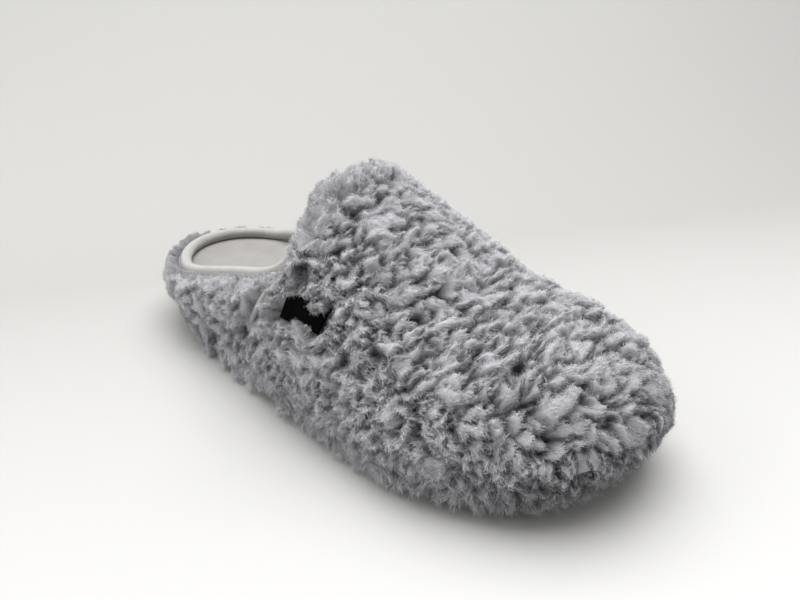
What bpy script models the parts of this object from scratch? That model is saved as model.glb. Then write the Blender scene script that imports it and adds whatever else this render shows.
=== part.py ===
"""Fleece clog slipper for the right foot: sole, insole, shaggy upper, collar binding and side label.

Metres. The toe points to +X, the big-toe side to +Y, and the sole stands on z = 0.
"""
from collections import namedtuple

import bpy
import numpy as np

# Driving dimensions, taken over the fleece's backing and without its pile
LENGTH = 0.258
HEEL_BACK = -0.1290
BALL_WIDTH = 0.0955
HEEL_WIDTH = 0.0735
HEEL_DEPTH = 0.0480
INSTEP_HEIGHT = 0.0985
RIM_HEIGHT = 0.0332
EDGE_HEIGHT = 0.0080
TOE_SPRING = 0.0050
SPRING_START = 0.040
ARCH_RISE = 0.0018
ARCH_RANGE = (-0.055, 0.012)
WALL = 0.0030
GAP = 0.0003
SEAT_GAP = 0.0005

# Sections of the vamp from the throat to the toe. x is a share of the length from the heel, y of the ball
# width, z of the instep height. The span is half the arch in degrees: past 90 the side swells over the sole.
Section = namedtuple("Section", "lateral_x lateral_y medial_x medial_y crown_x crown_y crown_z span")
SECTIONS = (
    Section(0.405, -0.440, 0.410, 0.420, 0.484, 0.000, 1.000, 100),
    Section(0.500, -0.470, 0.512, 0.445, 0.590, 0.010, 0.835, 102),
    Section(0.630, -0.505, 0.655, 0.475, 0.715, 0.030, 0.620, 104),
    Section(0.755, -0.502, 0.788, 0.476, 0.835, 0.052, 0.515, 104),
    Section(0.835, -0.447, 0.870, 0.432, 0.922, 0.065, 0.455, 95),
    Section(0.866, -0.410, 0.903, 0.412, 0.990, 0.072, 0.320, 80),
    Section(0.888, -0.372, 0.925, 0.394, 0.982, 0.075, 0.142, 66),
)
ARCH_POWER = 0.9

# Grid of the outer fleece; the inside has half as many steps each way
ROWS = 40
COLUMNS = 56
CORNER_COLUMN = 10
WRAP_STEPS = 60
PLAN_STEPS = 20
SLOPE_STEP = 0.004

# Heel wrap: how far the collar runs down from a throat corner, and the swell and flare of the wall
COLLAR_FALL = 0.33
HEEL_SWELL = 0.0025
HEEL_FLARE = 0.0005
CORNER_REACH = 0.0250
CORNER_SMOOTHING = 24

# Fleece locks
VAMP_PILE = 0.0135
WRAP_PILE = 0.0115
LOCK_SPACING = 0.0105
LOCK_VALLEY = 0.42
LOCK_LEAN = 0.35
LOCK_SIZES = (0.80, 1.15)
LOCK_SEED = 7
NAP = (0.45, -0.15, -0.85)
COLLAR_PILE = (0.75, 1.00)
SEAM_STEP = 0.55
THROAT_OVERHANG = 0.0040
EDGE_PILE = 0.70
EDGE_DROOP = 0.0045

# Sole and insole
STATIONS = 34
LEVELS = (0.0040, 0.0085, 0.0125, 0.0165, 0.0205, 0.0245, 0.0280, 0.0310)
SOLE_TOP_HEEL = 0.0258
SOLE_TOP_BALL = 0.0135
RAMP = (-0.070, 0.030)
TREAD_BEVEL = 0.0015
INSOLE_THICKNESS = 0.0060
INSOLE_ROUND = 0.0020
INSOLE_DISH = 0.0015
DISH_INSET = 0.0120

# Binding on the collar
BINDING_HALF_WIDTH = 0.0028
BINDING_HALF_HEIGHT = 0.0025
BINDING_SIDES = 8

# Side label, placed by the vamp's rows and by height, on a bed of flattened pile
LABEL_ROWS = (0.045, 0.178)
LABEL_HEIGHTS = (0.0465, 0.0595)
LABEL_STEPS = (6, 4)
LABEL_BED = 0.0050
LABEL_THICKNESS = 0.0012
BED_ROW_MARGIN = 0.040
BED_HEIGHT_MARGIN = 0.006

# Materials: colour, roughness
FLEECE_GREY = ((0.30, 0.30, 0.33), 0.95)
BINDING_GREY = ((0.62, 0.60, 0.57), 0.85)
INSOLE_GREY = ((0.45, 0.43, 0.41), 0.90)
SOLE_GREY = ((0.10, 0.10, 0.11), 0.80)
LABEL_BLACK = ((0.012, 0.012, 0.013), 0.75)


def clear_scene():
    for thing in list(bpy.data.objects):
        bpy.data.objects.remove(thing, do_unlink=True)


def ease(share):
    return share * share * (3 - 2 * share)


def unit(vectors):
    return vectors / np.maximum(np.linalg.norm(vectors, axis=-1, keepdims=True), 1e-12)


def toe_spring(x):
    share = np.clip((x - SPRING_START) / (HEEL_BACK + LENGTH - SPRING_START), 0, None)
    return TOE_SPRING * share ** 2


def section_at(row):
    """The section's shares at each row, from 0 at the throat to 1 at the toe, on a smooth curve."""
    table = np.array(SECTIONS)
    last = len(table) - 1
    place = np.clip(row, 0, 1) * last
    first = np.minimum(place.astype(int), last - 1)
    share = (place - first)[..., None]
    before, start, end, after = (table[np.clip(first + k, 0, last)] for k in (-1, 0, 1, 2))
    leave = np.where((first > 0)[..., None], (end - before) / 2, end - start)
    arrive = np.where((first + 2 <= last)[..., None], (after - start) / 2, end - start)
    sizes = start + (end - start) * ease(share)
    sizes += leave * share * (1 - share) ** 2 - arrive * share ** 2 * (1 - share)
    return Section(*np.moveaxis(sizes, -1, 0))


def vamp(row, column):
    """Backing of the vamp at a row (0 throat to 1 toe) and a column (-1 lateral to 1 medial)."""
    size = section_at(row)
    lateral_x = HEEL_BACK + size.lateral_x * LENGTH
    medial_x = HEEL_BACK + size.medial_x * LENGTH
    crown_x = HEEL_BACK + size.crown_x * LENGTH
    lateral = np.stack([lateral_x, size.lateral_y * BALL_WIDTH, EDGE_HEIGHT + toe_spring(lateral_x)], -1)
    medial = np.stack([medial_x, size.medial_y * BALL_WIDTH, EDGE_HEIGHT + toe_spring(medial_x)], -1)
    crown = np.stack([crown_x, size.crown_y * BALL_WIDTH, size.crown_z * INSTEP_HEIGHT], -1)
    span = np.radians(size.span)
    turn = column * span
    across = np.sign(turn) * (np.abs(np.sin(turn)) / np.sin(span)) ** ARCH_POWER
    rise = np.clip((np.cos(turn) - np.cos(span)) / (1 - np.cos(span)), 0, None) ** ARCH_POWER
    middle = (lateral + medial) / 2
    return middle + across[..., None] * (medial - lateral) / 2 + rise[..., None] * (crown - middle)


def lateral_column(row, height):
    """Column of the vamp's lateral side that lies at a height, behind the toe spring."""
    size = section_at(row)
    span = np.radians(size.span)
    rise = (height - EDGE_HEIGHT) / (size.crown_z * INSTEP_HEIGHT - EDGE_HEIGHT)
    return -np.arccos(np.cos(span) + (1 - np.cos(span)) * rise ** (1 / ARCH_POWER)) / span


def heel_plan(along):
    """Plan of the heel wrap's foot, from the lateral seam (0) round the heel to the medial seam (1)."""
    seam = SECTIONS[0]
    angle = np.linspace(-np.pi / 2, np.pi / 2, 2 * PLAN_STEPS + 1)
    heel = np.column_stack([HEEL_BACK + HEEL_DEPTH * (1 - np.cos(angle)), HEEL_WIDTH / 2 * np.sin(angle)])
    share = np.linspace(0, 1, PLAN_STEPS + 1)[:-1]
    sides = []
    for x, y, end in ((seam.lateral_x, seam.lateral_y, heel[0]), (seam.medial_x, seam.medial_y, heel[-1])):
        start = np.array([HEEL_BACK + x * LENGTH, y * BALL_WIDTH])
        forward = start[0] + (end[0] - start[0]) * share
        sideways = start[1] + (end[1] - start[1]) * ease(share)
        sides.append(np.column_stack([forward, sideways]))
    path = np.concatenate([sides[0], heel, sides[1][::-1]])
    run = np.concatenate([[0], np.cumsum(np.linalg.norm(np.diff(path, axis=0), axis=1))])
    place = np.asarray(along) * run[-1]
    return np.stack([np.interp(place, run, path[:, 0]), np.interp(place, run, path[:, 1])], -1)


def wrap(up, along):
    """Backing of the heel wrap, from the sole (up 0) to the rim (up 1), blending into the vamp's seams."""
    foot = heel_plan(along)
    ahead = heel_plan(np.clip(along + SLOPE_STEP, 0, 1)) - heel_plan(np.clip(along - SLOPE_STEP, 0, 1))
    outward = unit(np.stack([-ahead[..., 1], ahead[..., 0]], -1))
    close = np.clip(1 - np.minimum(along, 1 - along) / COLLAR_FALL, 0, 1)
    seam_share = ((close + ease(close)) / 2)[..., None]
    side = np.where(along < 0.5, -1.0, 1.0)
    throat = np.zeros_like(up)
    corner_share = 2 * CORNER_COLUMN / COLUMNS
    seam = vamp(throat, side * (1 - up * corner_share)) - vamp(throat, side)
    swell = HEEL_SWELL * np.sin(np.pi * up) + HEEL_FLARE * up ** 2
    heel = np.concatenate([outward * swell[..., None], ((RIM_HEIGHT - EDGE_HEIGHT) * up)[..., None]], -1)
    base = np.concatenate([foot, np.full(foot.shape[:-1] + (1,), EDGE_HEIGHT)], -1)
    return base + seam_share * seam + (1 - seam_share) * heel


def normal_of(surface, first, second, first_range, second_range):
    """Outward normals of a surface at its parameters, by small steps inside their ranges."""
    across_first = surface(np.clip(first + SLOPE_STEP, *first_range), second)
    across_first = across_first - surface(np.clip(first - SLOPE_STEP, *first_range), second)
    across_second = surface(first, np.clip(second + SLOPE_STEP, *second_range))
    across_second = across_second - surface(first, np.clip(second - SLOPE_STEP, *second_range))
    return unit(np.cross(across_first, across_second))


class Shell:
    """The upper's backing as one grid: points, outward normals, faces, and its collar and sole edges."""

    def __init__(self, rows, columns, corner, steps):
        self.rows, self.columns, self.corner, self.steps = rows, columns, corner, steps
        row, column = np.meshgrid(np.linspace(0, 1, rows + 1), np.linspace(-1, 1, columns + 1), indexing="ij")
        along, up = np.meshgrid(np.linspace(0, 1, steps + 1), np.linspace(0, 1, corner + 1), indexing="ij")
        along, up = along[1:-1], up[1:-1]
        vamp_normal = normal_of(vamp, row, column, (0, 1), (-1, 1))
        wrap_normal = normal_of(wrap, up, along, (0, 1), (0, 1))
        self.points = np.concatenate([vamp(row, column).reshape(-1, 3), wrap(up, along).reshape(-1, 3)])
        self.normals = np.concatenate([vamp_normal.reshape(-1, 3), wrap_normal.reshape(-1, 3)])
        self.row = np.concatenate([row.ravel(), np.full(along.size, -1.0)])
        self.normals[self.sole_edge(), 2] = 0
        self.normals = unit(self.normals)
        self.round_corners()

    def vamp_index(self, i, j):
        return i * (self.columns + 1) + j

    def wrap_index(self, a, b):
        if a == 0:
            return self.vamp_index(0, b)
        if a == self.steps:
            return self.vamp_index(0, self.columns - b)
        return (self.rows + 1) * (self.columns + 1) + (a - 1) * (self.corner + 1) + b

    def collar(self, depth=0):
        """Indices round the collar, lateral corner first over the throat, at a depth of rows from the edge."""
        throat = range(self.corner, self.columns - self.corner + 1)
        rim = range(self.steps - 1, 0, -1)
        return ([self.vamp_index(depth, j) for j in throat]
                + [self.wrap_index(a, self.corner - depth) for a in rim])

    def sole_edge(self):
        """Indices round the sole: lateral side to the toe, across the toe, medial side, heel."""
        return ([self.vamp_index(i, 0) for i in range(self.rows + 1)]
                + [self.vamp_index(self.rows, j) for j in range(1, self.columns + 1)]
                + [self.vamp_index(i, self.columns) for i in range(self.rows - 1, -1, -1)]
                + [self.wrap_index(a, 0) for a in range(self.steps - 1, 0, -1)])

    def faces(self):
        quads = []
        for i in range(self.rows):
            for j in range(self.columns):
                quads.append([self.vamp_index(i + p, j + q) for p, q in ((0, 0), (1, 0), (1, 1), (0, 1))])
        for a in range(self.steps):
            for b in range(self.corner):
                quads.append([self.wrap_index(a + p, b + q) for p, q in ((0, 0), (0, 1), (1, 1), (1, 0))])
        return quads

    def round_corners(self):
        """Smooth the collar where the rim turns up into the throat, to the same radius on any grid."""
        collar = self.collar()
        edge = self.points[collar]
        away = [np.linalg.norm(edge - edge[k], axis=1) for k in (0, self.columns - 2 * self.corner)]
        weight = np.exp(-(np.min(away, axis=0) / CORNER_REACH) ** 2)[:, None]
        for _ in range(CORNER_SMOOTHING * self.rows ** 2 // ROWS ** 2):
            middle = (np.roll(edge, 1, axis=0) + np.roll(edge, -1, axis=0)) / 2
            edge = edge + weight * (middle - edge) / 2
        self.points[collar] = edge


def lock_share(points):
    """How near each point is to a lock's tip, from 0 between locks to 1, and a size for each lock."""
    chance = np.random.RandomState(LOCK_SEED)
    tips = []
    for index in chance.permutation(len(points)):
        if not tips or np.linalg.norm(points[tips] - points[index], axis=1).min() > LOCK_SPACING:
            tips.append(index)
    size = chance.uniform(*LOCK_SIZES, len(tips))
    distance = np.linalg.norm(points[:, None] - points[tips][None], axis=2)
    order = np.argsort(distance, axis=1)[:, :2]
    near, next_near = np.take_along_axis(distance, order, 1).T
    return (next_near - near) / (next_near + near), size[order[:, 0]]


def fleece(shell):
    """The outer shell's points pushed out into locks that lean along the nap."""
    share, size = lock_share(shell.points)
    pile = np.where(shell.row < 0, WRAP_PILE, VAMP_PILE)
    height = pile * size * (LOCK_VALLEY + (1 - LOCK_VALLEY) * (1 - (1 - share) ** 2))
    for depth, part in enumerate(COLLAR_PILE):
        height[shell.collar(depth)] *= part
    for beside_seam in (1, shell.steps - 1):
        height[[shell.wrap_index(beside_seam, b) for b in range(shell.corner + 1)]] *= SEAM_STEP
    bed = (shell.row >= LABEL_ROWS[0] - BED_ROW_MARGIN) & (shell.row <= LABEL_ROWS[1] + BED_ROW_MARGIN)
    bed &= (shell.points[:, 2] >= LABEL_HEIGHTS[0] - BED_HEIGHT_MARGIN) & (shell.points[:, 1] < 0)
    bed &= shell.points[:, 2] <= LABEL_HEIGHTS[1] + BED_HEIGHT_MARGIN
    height[bed] = np.minimum(height[bed], LABEL_BED)
    along = np.array(NAP) - shell.normals * (shell.normals @ np.array(NAP))[:, None]
    lean = LOCK_LEAN * share * height
    lean[bed] = 0
    lean[shell.collar()] = 0
    edge = shell.sole_edge()
    height[edge] *= EDGE_PILE
    lean[edge] = 0
    points = shell.points + shell.normals * height[:, None] + along * lean[:, None]
    points[edge, 2] -= EDGE_DROOP
    throat_width = shell.columns - 2 * shell.corner + 1
    throat, behind = shell.collar()[:throat_width], shell.collar(1)[:throat_width]
    points[throat] += unit(shell.points[throat] - shell.points[behind]) * THROAT_OVERHANG
    return points


def zip_loops(coarse, fine):
    """Triangles between a closed loop and one with twice its points."""
    faces = []
    for k in range(len(coarse)):
        first, last = coarse[k], coarse[(k + 1) % len(coarse)]
        a, b, c = fine[2 * k], fine[2 * k + 1], fine[(2 * k + 2) % len(fine)]
        faces += [[first, a, b], [first, b, last], [last, b, c]]
    return faces


def strip(loop, other):
    """Quads between two closed loops of the same length."""
    count = len(loop)
    return [[loop[k], loop[(k + 1) % count], other[(k + 1) % count], other[k]] for k in range(count)]


def turned(faces):
    return [face[::-1] for face in faces]


def make_material(name, finish):
    colour, roughness = finish
    material = bpy.data.materials.new(name)
    material.use_nodes = True
    shader = material.node_tree.nodes["Principled BSDF"]
    shader.inputs["Base Color"].default_value = (*colour, 1.0)
    shader.inputs["Roughness"].default_value = roughness
    return material


def add_object(name, points, faces, finish, parent):
    mesh = bpy.data.meshes.new(name)
    mesh.from_pydata([tuple(point) for point in points], [], faces)
    mesh.validate()
    mesh.shade_smooth()
    mesh.materials.append(make_material(name, finish))
    thing = bpy.data.objects.new(name, mesh)
    thing.parent = parent
    bpy.context.collection.objects.link(thing)
    return thing


def make_upper(outer, inner, parent):
    """One hollow solid: fleece outside, the wall's inner face, and flat ledges at the collar and the sole."""
    ledge_width = BINDING_HALF_WIDTH - WALL / 2 + GAP
    collar_ledge = outer.points[outer.collar()] + outer.normals[outer.collar()] * ledge_width
    sole_ledge = outer.points[outer.sole_edge()]
    blocks = [fleece(outer), inner.points - inner.normals * WALL, collar_ledge, sole_ledge]
    starts = np.cumsum([0] + [len(block) for block in blocks]).tolist()
    collar_loop = list(range(starts[2], starts[3]))
    sole_loop = list(range(starts[3], starts[4]))
    inner_collar = [index + starts[1] for index in inner.collar()]
    inner_edge = [index + starts[1] for index in inner.sole_edge()]
    faces = outer.faces()
    faces += [[index + starts[1] for index in face] for face in turned(inner.faces())]
    faces += zip_loops(inner_collar, collar_loop) + turned(strip(collar_loop, outer.collar()))
    faces += turned(zip_loops(inner_edge, sole_loop)) + strip(sole_loop, outer.sole_edge())
    return add_object("upper", np.concatenate(blocks), faces, FLEECE_GREY, parent)


class WallPlan:
    """Plan of the upper's inner face at any height, as stations from the heel to the toe on both sides."""

    def __init__(self, shell):
        skirt = shell.sole_edge()
        points = shell.points - shell.normals * WALL
        low = points[skirt] * np.array([1, 1, 0])
        low_start = len(points)
        faces = shell.faces()
        faces += strip(skirt, list(range(low_start, low_start + len(skirt))))
        self.edge = points[skirt]
        self.points = np.concatenate([points, low])
        pairs = {tuple(sorted((face[k - 1], face[k]))) for face in faces for k in range(len(face))}
        self.pairs = np.array(sorted(pairs))
        self.spread = (1 - np.cos(np.linspace(0, np.pi, STATIONS + 1))) / 2
        self.plans = np.array([self.cut(z) for z in LEVELS])

    def cut(self, z):
        """The closed outline at one height: lateral side heel to toe, then the medial side back."""
        start, end = self.points[self.pairs[:, 0]], self.points[self.pairs[:, 1]]
        crossing = (start[:, 2] - z) * (end[:, 2] - z) < 0
        start, end = start[crossing], end[crossing]
        share = (z - start[:, 2]) / (end[:, 2] - start[:, 2])
        outline = (start + (end - start) * share[:, None])[:, :2]
        heel, toe = outline[np.argmin(outline[:, 0])], outline[np.argmax(outline[:, 0])]
        x = heel[0] + (toe[0] - heel[0]) * self.spread
        dividing = np.interp(outline[:, 0], [heel[0], toe[0]], [heel[1], toe[1]])
        sides = []
        for side in (outline[outline[:, 1] < dividing], outline[outline[:, 1] > dividing]):
            side = np.concatenate([[heel], side[np.argsort(side[:, 0])], [toe]])
            sides.append(np.column_stack([x, np.interp(x, side[:, 0], side[:, 1])]))
        return np.concatenate([sides[0], sides[1][-2:0:-1]])

    def at(self, heights):
        """Outline with its own height at each station."""
        place = np.interp(heights, LEVELS, np.arange(len(LEVELS)))
        low = np.minimum(place.astype(int), len(LEVELS) - 2)
        share = (place - low)[:, None]
        station = np.arange(len(heights))
        return self.plans[low, station] * (1 - share) + self.plans[low + 1, station] * share

    def edge_height(self, x, y):
        """Height of the wall's foot next to each place."""
        near = np.hypot(self.edge[:, 0][None] - x[:, None], self.edge[:, 1][None] - y[:, None])
        return self.edge[np.argmin(near, axis=1), 2]


def inset(outline, distance):
    """The outline moved inwards in plan."""
    ahead = np.roll(outline, -1, axis=0) - np.roll(outline, 1, axis=0)
    inward = unit(np.stack([-ahead[:, 1], ahead[:, 0]], -1))
    return outline + inward * distance


def ring(outline, height):
    return np.column_stack([outline, np.broadcast_to(height, len(outline))])


def ladder(start):
    """Faces across a closed ring of stations, rung by rung from the heel to the toe."""
    count = 2 * STATIONS
    lateral = [start + k for k in range(STATIONS + 1)]
    medial = [start + (count - k) % count for k in range(STATIONS + 1)]
    faces = []
    for k in range(STATIONS):
        corners = [lateral[k], lateral[k + 1], medial[k + 1], medial[k]]
        faces.append(list(dict.fromkeys(corners)))
    return faces


def stack(rings):
    """A closed solid through rings of stations, lowest first, with a face across each end."""
    count = 2 * STATIONS
    loops = [list(range(k * count, (k + 1) * count)) for k in range(len(rings))]
    faces = turned(ladder(0))
    for low, high in zip(loops, loops[1:]):
        faces += strip(low, high)
    faces += ladder((len(rings) - 1) * count)
    return np.concatenate(rings), faces


def tread_height(x):
    """Underside of the sole: flat at heel and forefoot, lifted at the arch and the toe."""
    share = np.clip((x - ARCH_RANGE[0]) / (ARCH_RANGE[1] - ARCH_RANGE[0]), 0, 1)
    return ARCH_RISE * np.sin(np.pi * share) ** 2 + toe_spring(x)


def sole_top(x):
    share = np.clip((x - RAMP[0]) / (RAMP[1] - RAMP[0]), 0, 1)
    return SOLE_TOP_HEEL + (SOLE_TOP_BALL - SOLE_TOP_HEEL) * ease(share) + toe_spring(x)


def make_sole(plan, parent):
    """Flange under the wall's foot, and the block that fills the wall up to the insole."""
    foot = plan.plans[0]
    flange = inset(foot, GAP - WALL)
    tread = inset(flange, TREAD_BEVEL)
    shelf = plan.edge_height(foot[:, 0], foot[:, 1]) - GAP
    block_foot = inset(plan.at(shelf), SEAT_GAP)
    top = sole_top(foot[:, 0])
    block_top = inset(plan.at(top), SEAT_GAP)
    rings = [
        ring(tread, tread_height(tread[:, 0])),
        ring(flange, tread_height(flange[:, 0]) + TREAD_BEVEL),
        ring(flange, shelf),
        ring(block_foot, shelf),
        ring(block_top, top),
    ]
    points, faces = stack(rings)
    return add_object("outsole", points, faces, SOLE_GREY, parent)


def make_insole(plan, parent):
    """Footbed on the sole, with a rolled edge and a shallow dish."""
    x = plan.plans[0][:, 0]
    under = sole_top(x) + GAP
    side = under + INSOLE_THICKNESS - INSOLE_ROUND
    top = under + INSOLE_THICKNESS
    lip = inset(plan.at(np.minimum(top, LEVELS[-1])), SEAT_GAP + INSOLE_ROUND)
    rings = [
        ring(inset(plan.at(under), SEAT_GAP), under),
        ring(inset(plan.at(side), SEAT_GAP), side),
        ring(lip, top),
        ring(inset(lip, DISH_INSET), top - INSOLE_DISH),
    ]
    points, faces = stack(rings)
    return add_object("insole", points, faces, INSOLE_GREY, parent)


def make_binding(shell, parent):
    """Rounded tape that rides on the wall's edge right round the collar."""
    edge = shell.points[shell.collar()]
    outward = shell.normals[shell.collar()]
    rising = unit(edge - shell.points[shell.collar(1)])
    for _ in range(3):
        outward = unit(np.roll(outward, 1, axis=0) + outward * 2 + np.roll(outward, -1, axis=0))
        rising = unit(np.roll(rising, 1, axis=0) + rising * 2 + np.roll(rising, -1, axis=0))
    along = unit(np.roll(edge, -1, axis=0) - np.roll(edge, 1, axis=0))
    outward = unit(outward - along * np.sum(outward * along, axis=1)[:, None])
    rising = unit(rising - along * np.sum(rising * along, axis=1)[:, None])
    rising = unit(rising - outward * np.sum(rising * outward, axis=1)[:, None])
    centre = edge - outward * WALL / 2 + rising * (BINDING_HALF_HEIGHT + GAP)
    loops = []
    for k in range(BINDING_SIDES):
        angle = 2 * np.pi * (k + 0.5) / BINDING_SIDES
        across = outward * BINDING_HALF_WIDTH * np.cos(angle)
        loops.append(centre + across + rising * BINDING_HALF_HEIGHT * np.sin(angle))
    count = len(edge)
    faces = []
    for k in range(BINDING_SIDES):
        other = (k + 1) % BINDING_SIDES
        faces += strip(list(range(k * count, (k + 1) * count)), list(range(other * count, (other + 1) * count)))
    return add_object("collar_binding", np.concatenate(loops), faces, BINDING_GREY, parent)


def make_label(parent):
    """Thin blank tab that follows the vamp's side on its bed of flattened pile."""
    steps_along, steps_up = LABEL_STEPS
    row, height = np.meshgrid(np.linspace(*LABEL_ROWS, steps_along + 1),
                              np.linspace(*LABEL_HEIGHTS, steps_up + 1), indexing="ij")
    column = lateral_column(row, height)
    skin = vamp(row, column).reshape(-1, 3)
    normal = normal_of(vamp, row, column, (0, 1), (-1, 1)).reshape(-1, 3)
    lift = LABEL_BED + GAP
    points = np.concatenate([skin + normal * lift, skin + normal * (lift + LABEL_THICKNESS)])
    width = steps_up + 1
    count = len(skin)
    under = []
    for i in range(steps_along):
        for j in range(steps_up):
            under.append([i * width + j, i * width + j + 1, (i + 1) * width + j + 1, (i + 1) * width + j])
    rim = ([i * width for i in range(steps_along + 1)]
           + [steps_along * width + j for j in range(1, width)]
           + [i * width + steps_up for i in range(steps_along - 1, -1, -1)]
           + [j for j in range(steps_up - 1, 0, -1)])
    faces = under + [[index + count for index in face] for face in turned(under)]
    faces += strip(rim, [index + count for index in rim])
    return add_object("side_label", points, faces, LABEL_BLACK, parent)


def main():
    clear_scene()
    slipper = bpy.data.objects.new("slipper", None)
    bpy.context.collection.objects.link(slipper)
    outer = Shell(ROWS, COLUMNS, CORNER_COLUMN, WRAP_STEPS)
    inner = Shell(ROWS // 2, COLUMNS // 2, CORNER_COLUMN // 2, WRAP_STEPS // 2)
    plan = WallPlan(inner)
    make_sole(plan, slipper)
    make_insole(plan, slipper)
    make_upper(outer, inner, slipper)
    make_binding(outer, slipper)
    make_label(slipper)


main()
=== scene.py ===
"""Looks of a fleece clog slipper: clumped pile and fibres, bound collar, lining, insole, sole and label.

Metres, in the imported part's frame. The toe points to +X, the big-toe side to +Y, and the sole is on z = 0.
"""
from collections import namedtuple

import bmesh
import bpy
import numpy as np
from mathutils import Matrix
from mathutils.kdtree import KDTree


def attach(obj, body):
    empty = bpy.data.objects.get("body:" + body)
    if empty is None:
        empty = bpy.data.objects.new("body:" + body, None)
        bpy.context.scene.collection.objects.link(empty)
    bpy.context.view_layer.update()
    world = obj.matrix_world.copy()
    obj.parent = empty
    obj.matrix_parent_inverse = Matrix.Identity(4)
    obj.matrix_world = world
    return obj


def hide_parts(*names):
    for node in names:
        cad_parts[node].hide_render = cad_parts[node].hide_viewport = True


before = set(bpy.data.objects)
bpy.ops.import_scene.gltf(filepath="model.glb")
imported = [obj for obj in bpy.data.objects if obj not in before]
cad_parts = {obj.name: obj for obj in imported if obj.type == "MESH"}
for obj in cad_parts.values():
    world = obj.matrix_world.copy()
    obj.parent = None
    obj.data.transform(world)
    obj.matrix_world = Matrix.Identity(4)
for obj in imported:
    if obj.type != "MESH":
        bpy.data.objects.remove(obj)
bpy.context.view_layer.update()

BODY = "root"

# Camera of the photograph: pinhole, rolled a little
CAMERA_TARGET = (0.01993, -0.00239, 0.04798)
CAMERA_AZIMUTH = 38.32
CAMERA_ELEVATION = 28.83
CAMERA_ROLL = 1.47
CAMERA_DISTANCE = 0.27427
CAMERA_LENS = 27.44
SENSOR_WIDTH = 36.0

# Paper sweep behind the slipper, with painted shade: pale in front, darker up the backdrop
SWEEP_START = 0.22
SWEEP_RADIUS = 0.60
PAPER_LIT_FRONT = (0.76, 0.756, 0.748)
PAPER_SHADED_WALL = (0.395, 0.391, 0.382)
PAPER_SHADE_FADE = (-0.35, 0.145)
PAPER_SHADE_SLANT = 0.35

# Lights: a soft key from above and a weaker fill from behind
WORLD_TINT = (1.0, 0.995, 0.98, 1.0)
WORLD_STRENGTH = 0.39
Light = namedtuple("Light", "name place target size power")
LIGHTS = (
    Light("key_softbox", (-0.20, 0.28, 1.22), (0.0, 0.0, 0.0), (1.4, 1.3), 30.0),
    Light("heel_fill", (-0.90, -0.65, 0.65), (-0.05, 0.0, 0.03), (1.1, 1.0), 6.5),
)

# Upper, as in the part: dimensions over the fleece's backing and without its pile
LENGTH = 0.258
HEEL_BACK = -0.1290
BALL_WIDTH = 0.0955
HEEL_WIDTH = 0.0735
HEEL_DEPTH = 0.0480
INSTEP_HEIGHT = 0.0985
RIM_HEIGHT = 0.0332
EDGE_HEIGHT = 0.0080
TOE_SPRING = 0.0050
SPRING_START = 0.040
ARCH_RISE = 0.0018
ARCH_RANGE = (-0.055, 0.012)
WALL = 0.0030
GAP = 0.0003
SEAT_GAP = 0.0005
Section = namedtuple("Section", "lateral_x lateral_y medial_x medial_y crown_x crown_y crown_z span")
SECTIONS = (
    Section(0.405, -0.440, 0.410, 0.420, 0.484, 0.000, 1.000, 100),
    Section(0.500, -0.470, 0.512, 0.445, 0.590, 0.010, 0.835, 102),
    Section(0.630, -0.505, 0.655, 0.475, 0.715, 0.030, 0.620, 104),
    Section(0.755, -0.502, 0.788, 0.476, 0.835, 0.052, 0.515, 104),
    Section(0.835, -0.447, 0.870, 0.432, 0.922, 0.065, 0.455, 95),
    Section(0.866, -0.410, 0.903, 0.412, 0.990, 0.072, 0.320, 80),
    Section(0.888, -0.372, 0.925, 0.394, 0.982, 0.075, 0.142, 66),
)
ARCH_POWER = 0.9
COLLAR_FALL = 0.33
HEEL_SWELL = 0.0025
HEEL_FLARE = 0.0005
CORNER_REACH = 0.0250
CORNER_SMOOTHING = 24
CORNER_SHARE = 10 / 28
SMOOTHED_ROWS = 40
PLAN_STEPS = 20
SLOPE_STEP = 0.004

# Grid of the backing for the collar and the sole
ROWS = 80
COLUMNS = 112
CORNER = 20
WRAP_STEPS = 120

# Label
LABEL_ROWS = (0.045, 0.178)
LABEL_HEIGHTS = (0.0465, 0.0595)
LABEL_BED = 0.0050
LABEL_THICKNESS = 0.0012
LABEL_STEPS = (28, 14)
COVER_STEPS = (48, 24)
LABEL_WAVE = 0.0004
LABEL_MILLIMETRES = (28, 13)

# Sole and insole
STATIONS = 120
LEVELS = (0.0040, 0.0085, 0.0125, 0.0165, 0.0205, 0.0245, 0.0280, 0.0310)
SOLE_TOP_HEEL = 0.0258
SOLE_TOP_BALL = 0.0135
RAMP = (-0.070, 0.030)
TREAD_BEVEL = 0.0015
TREAD_PITCH = 0.0075
TREAD_DEPTH = 0.0014
TREAD_BORDER = 0.0060
TREAD_COLUMNS = 72
TREAD_WAVE = (0.0022, 0.021)
TREAD_ROUND = 0.0005
WAIST = 0.0004
WAIST_SHARES = (0.50, 0.62, 0.74)
INSOLE_THICKNESS = 0.0060
INSOLE_ROUND = 0.0022
INSOLE_DISH = 0.0016
INSOLE_COLUMNS = 30
INSOLE_ANGLES = (0.35, 0.75, 1.15)
DISH_REACH = 0.016
INSOLE_UNEVEN = 0.00025
UNEVEN_SCALE = 0.022
UNEVEN_SEED = 9
UNEVEN_REACH = 0.008

# Collar binding, the bound edge of the vamp and the lining. SEAM_LIFT is lateral, medial
BINDING_HALF_WIDTH = 0.0028
BINDING_HALF_HEIGHT = 0.0025
BINDING_LEG = 0.0008
STITCH_PITCH = 0.0032
STITCH_LENGTH = 0.0022
STITCH_RADIUS = 0.00028
SEAM_HALF_WIDTH = 0.0014
SEAM_HALF_HEIGHT = 0.0012
SEAM_LIFT = (0.0050, 0.0026)
SEAM_UP = (0.99, 0.42)
SEAM_ALONG = (0.016, 0.066)
SEAM_POINTS = 60
SEAM_SIDES = 12
COLLAR_SMOOTHING = 12
STITCH_SIDES = 6
STITCH_INWARD = 0.0026
STITCH_DROP = 0.0011
LINING_CLEAR = 0.0006

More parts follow.
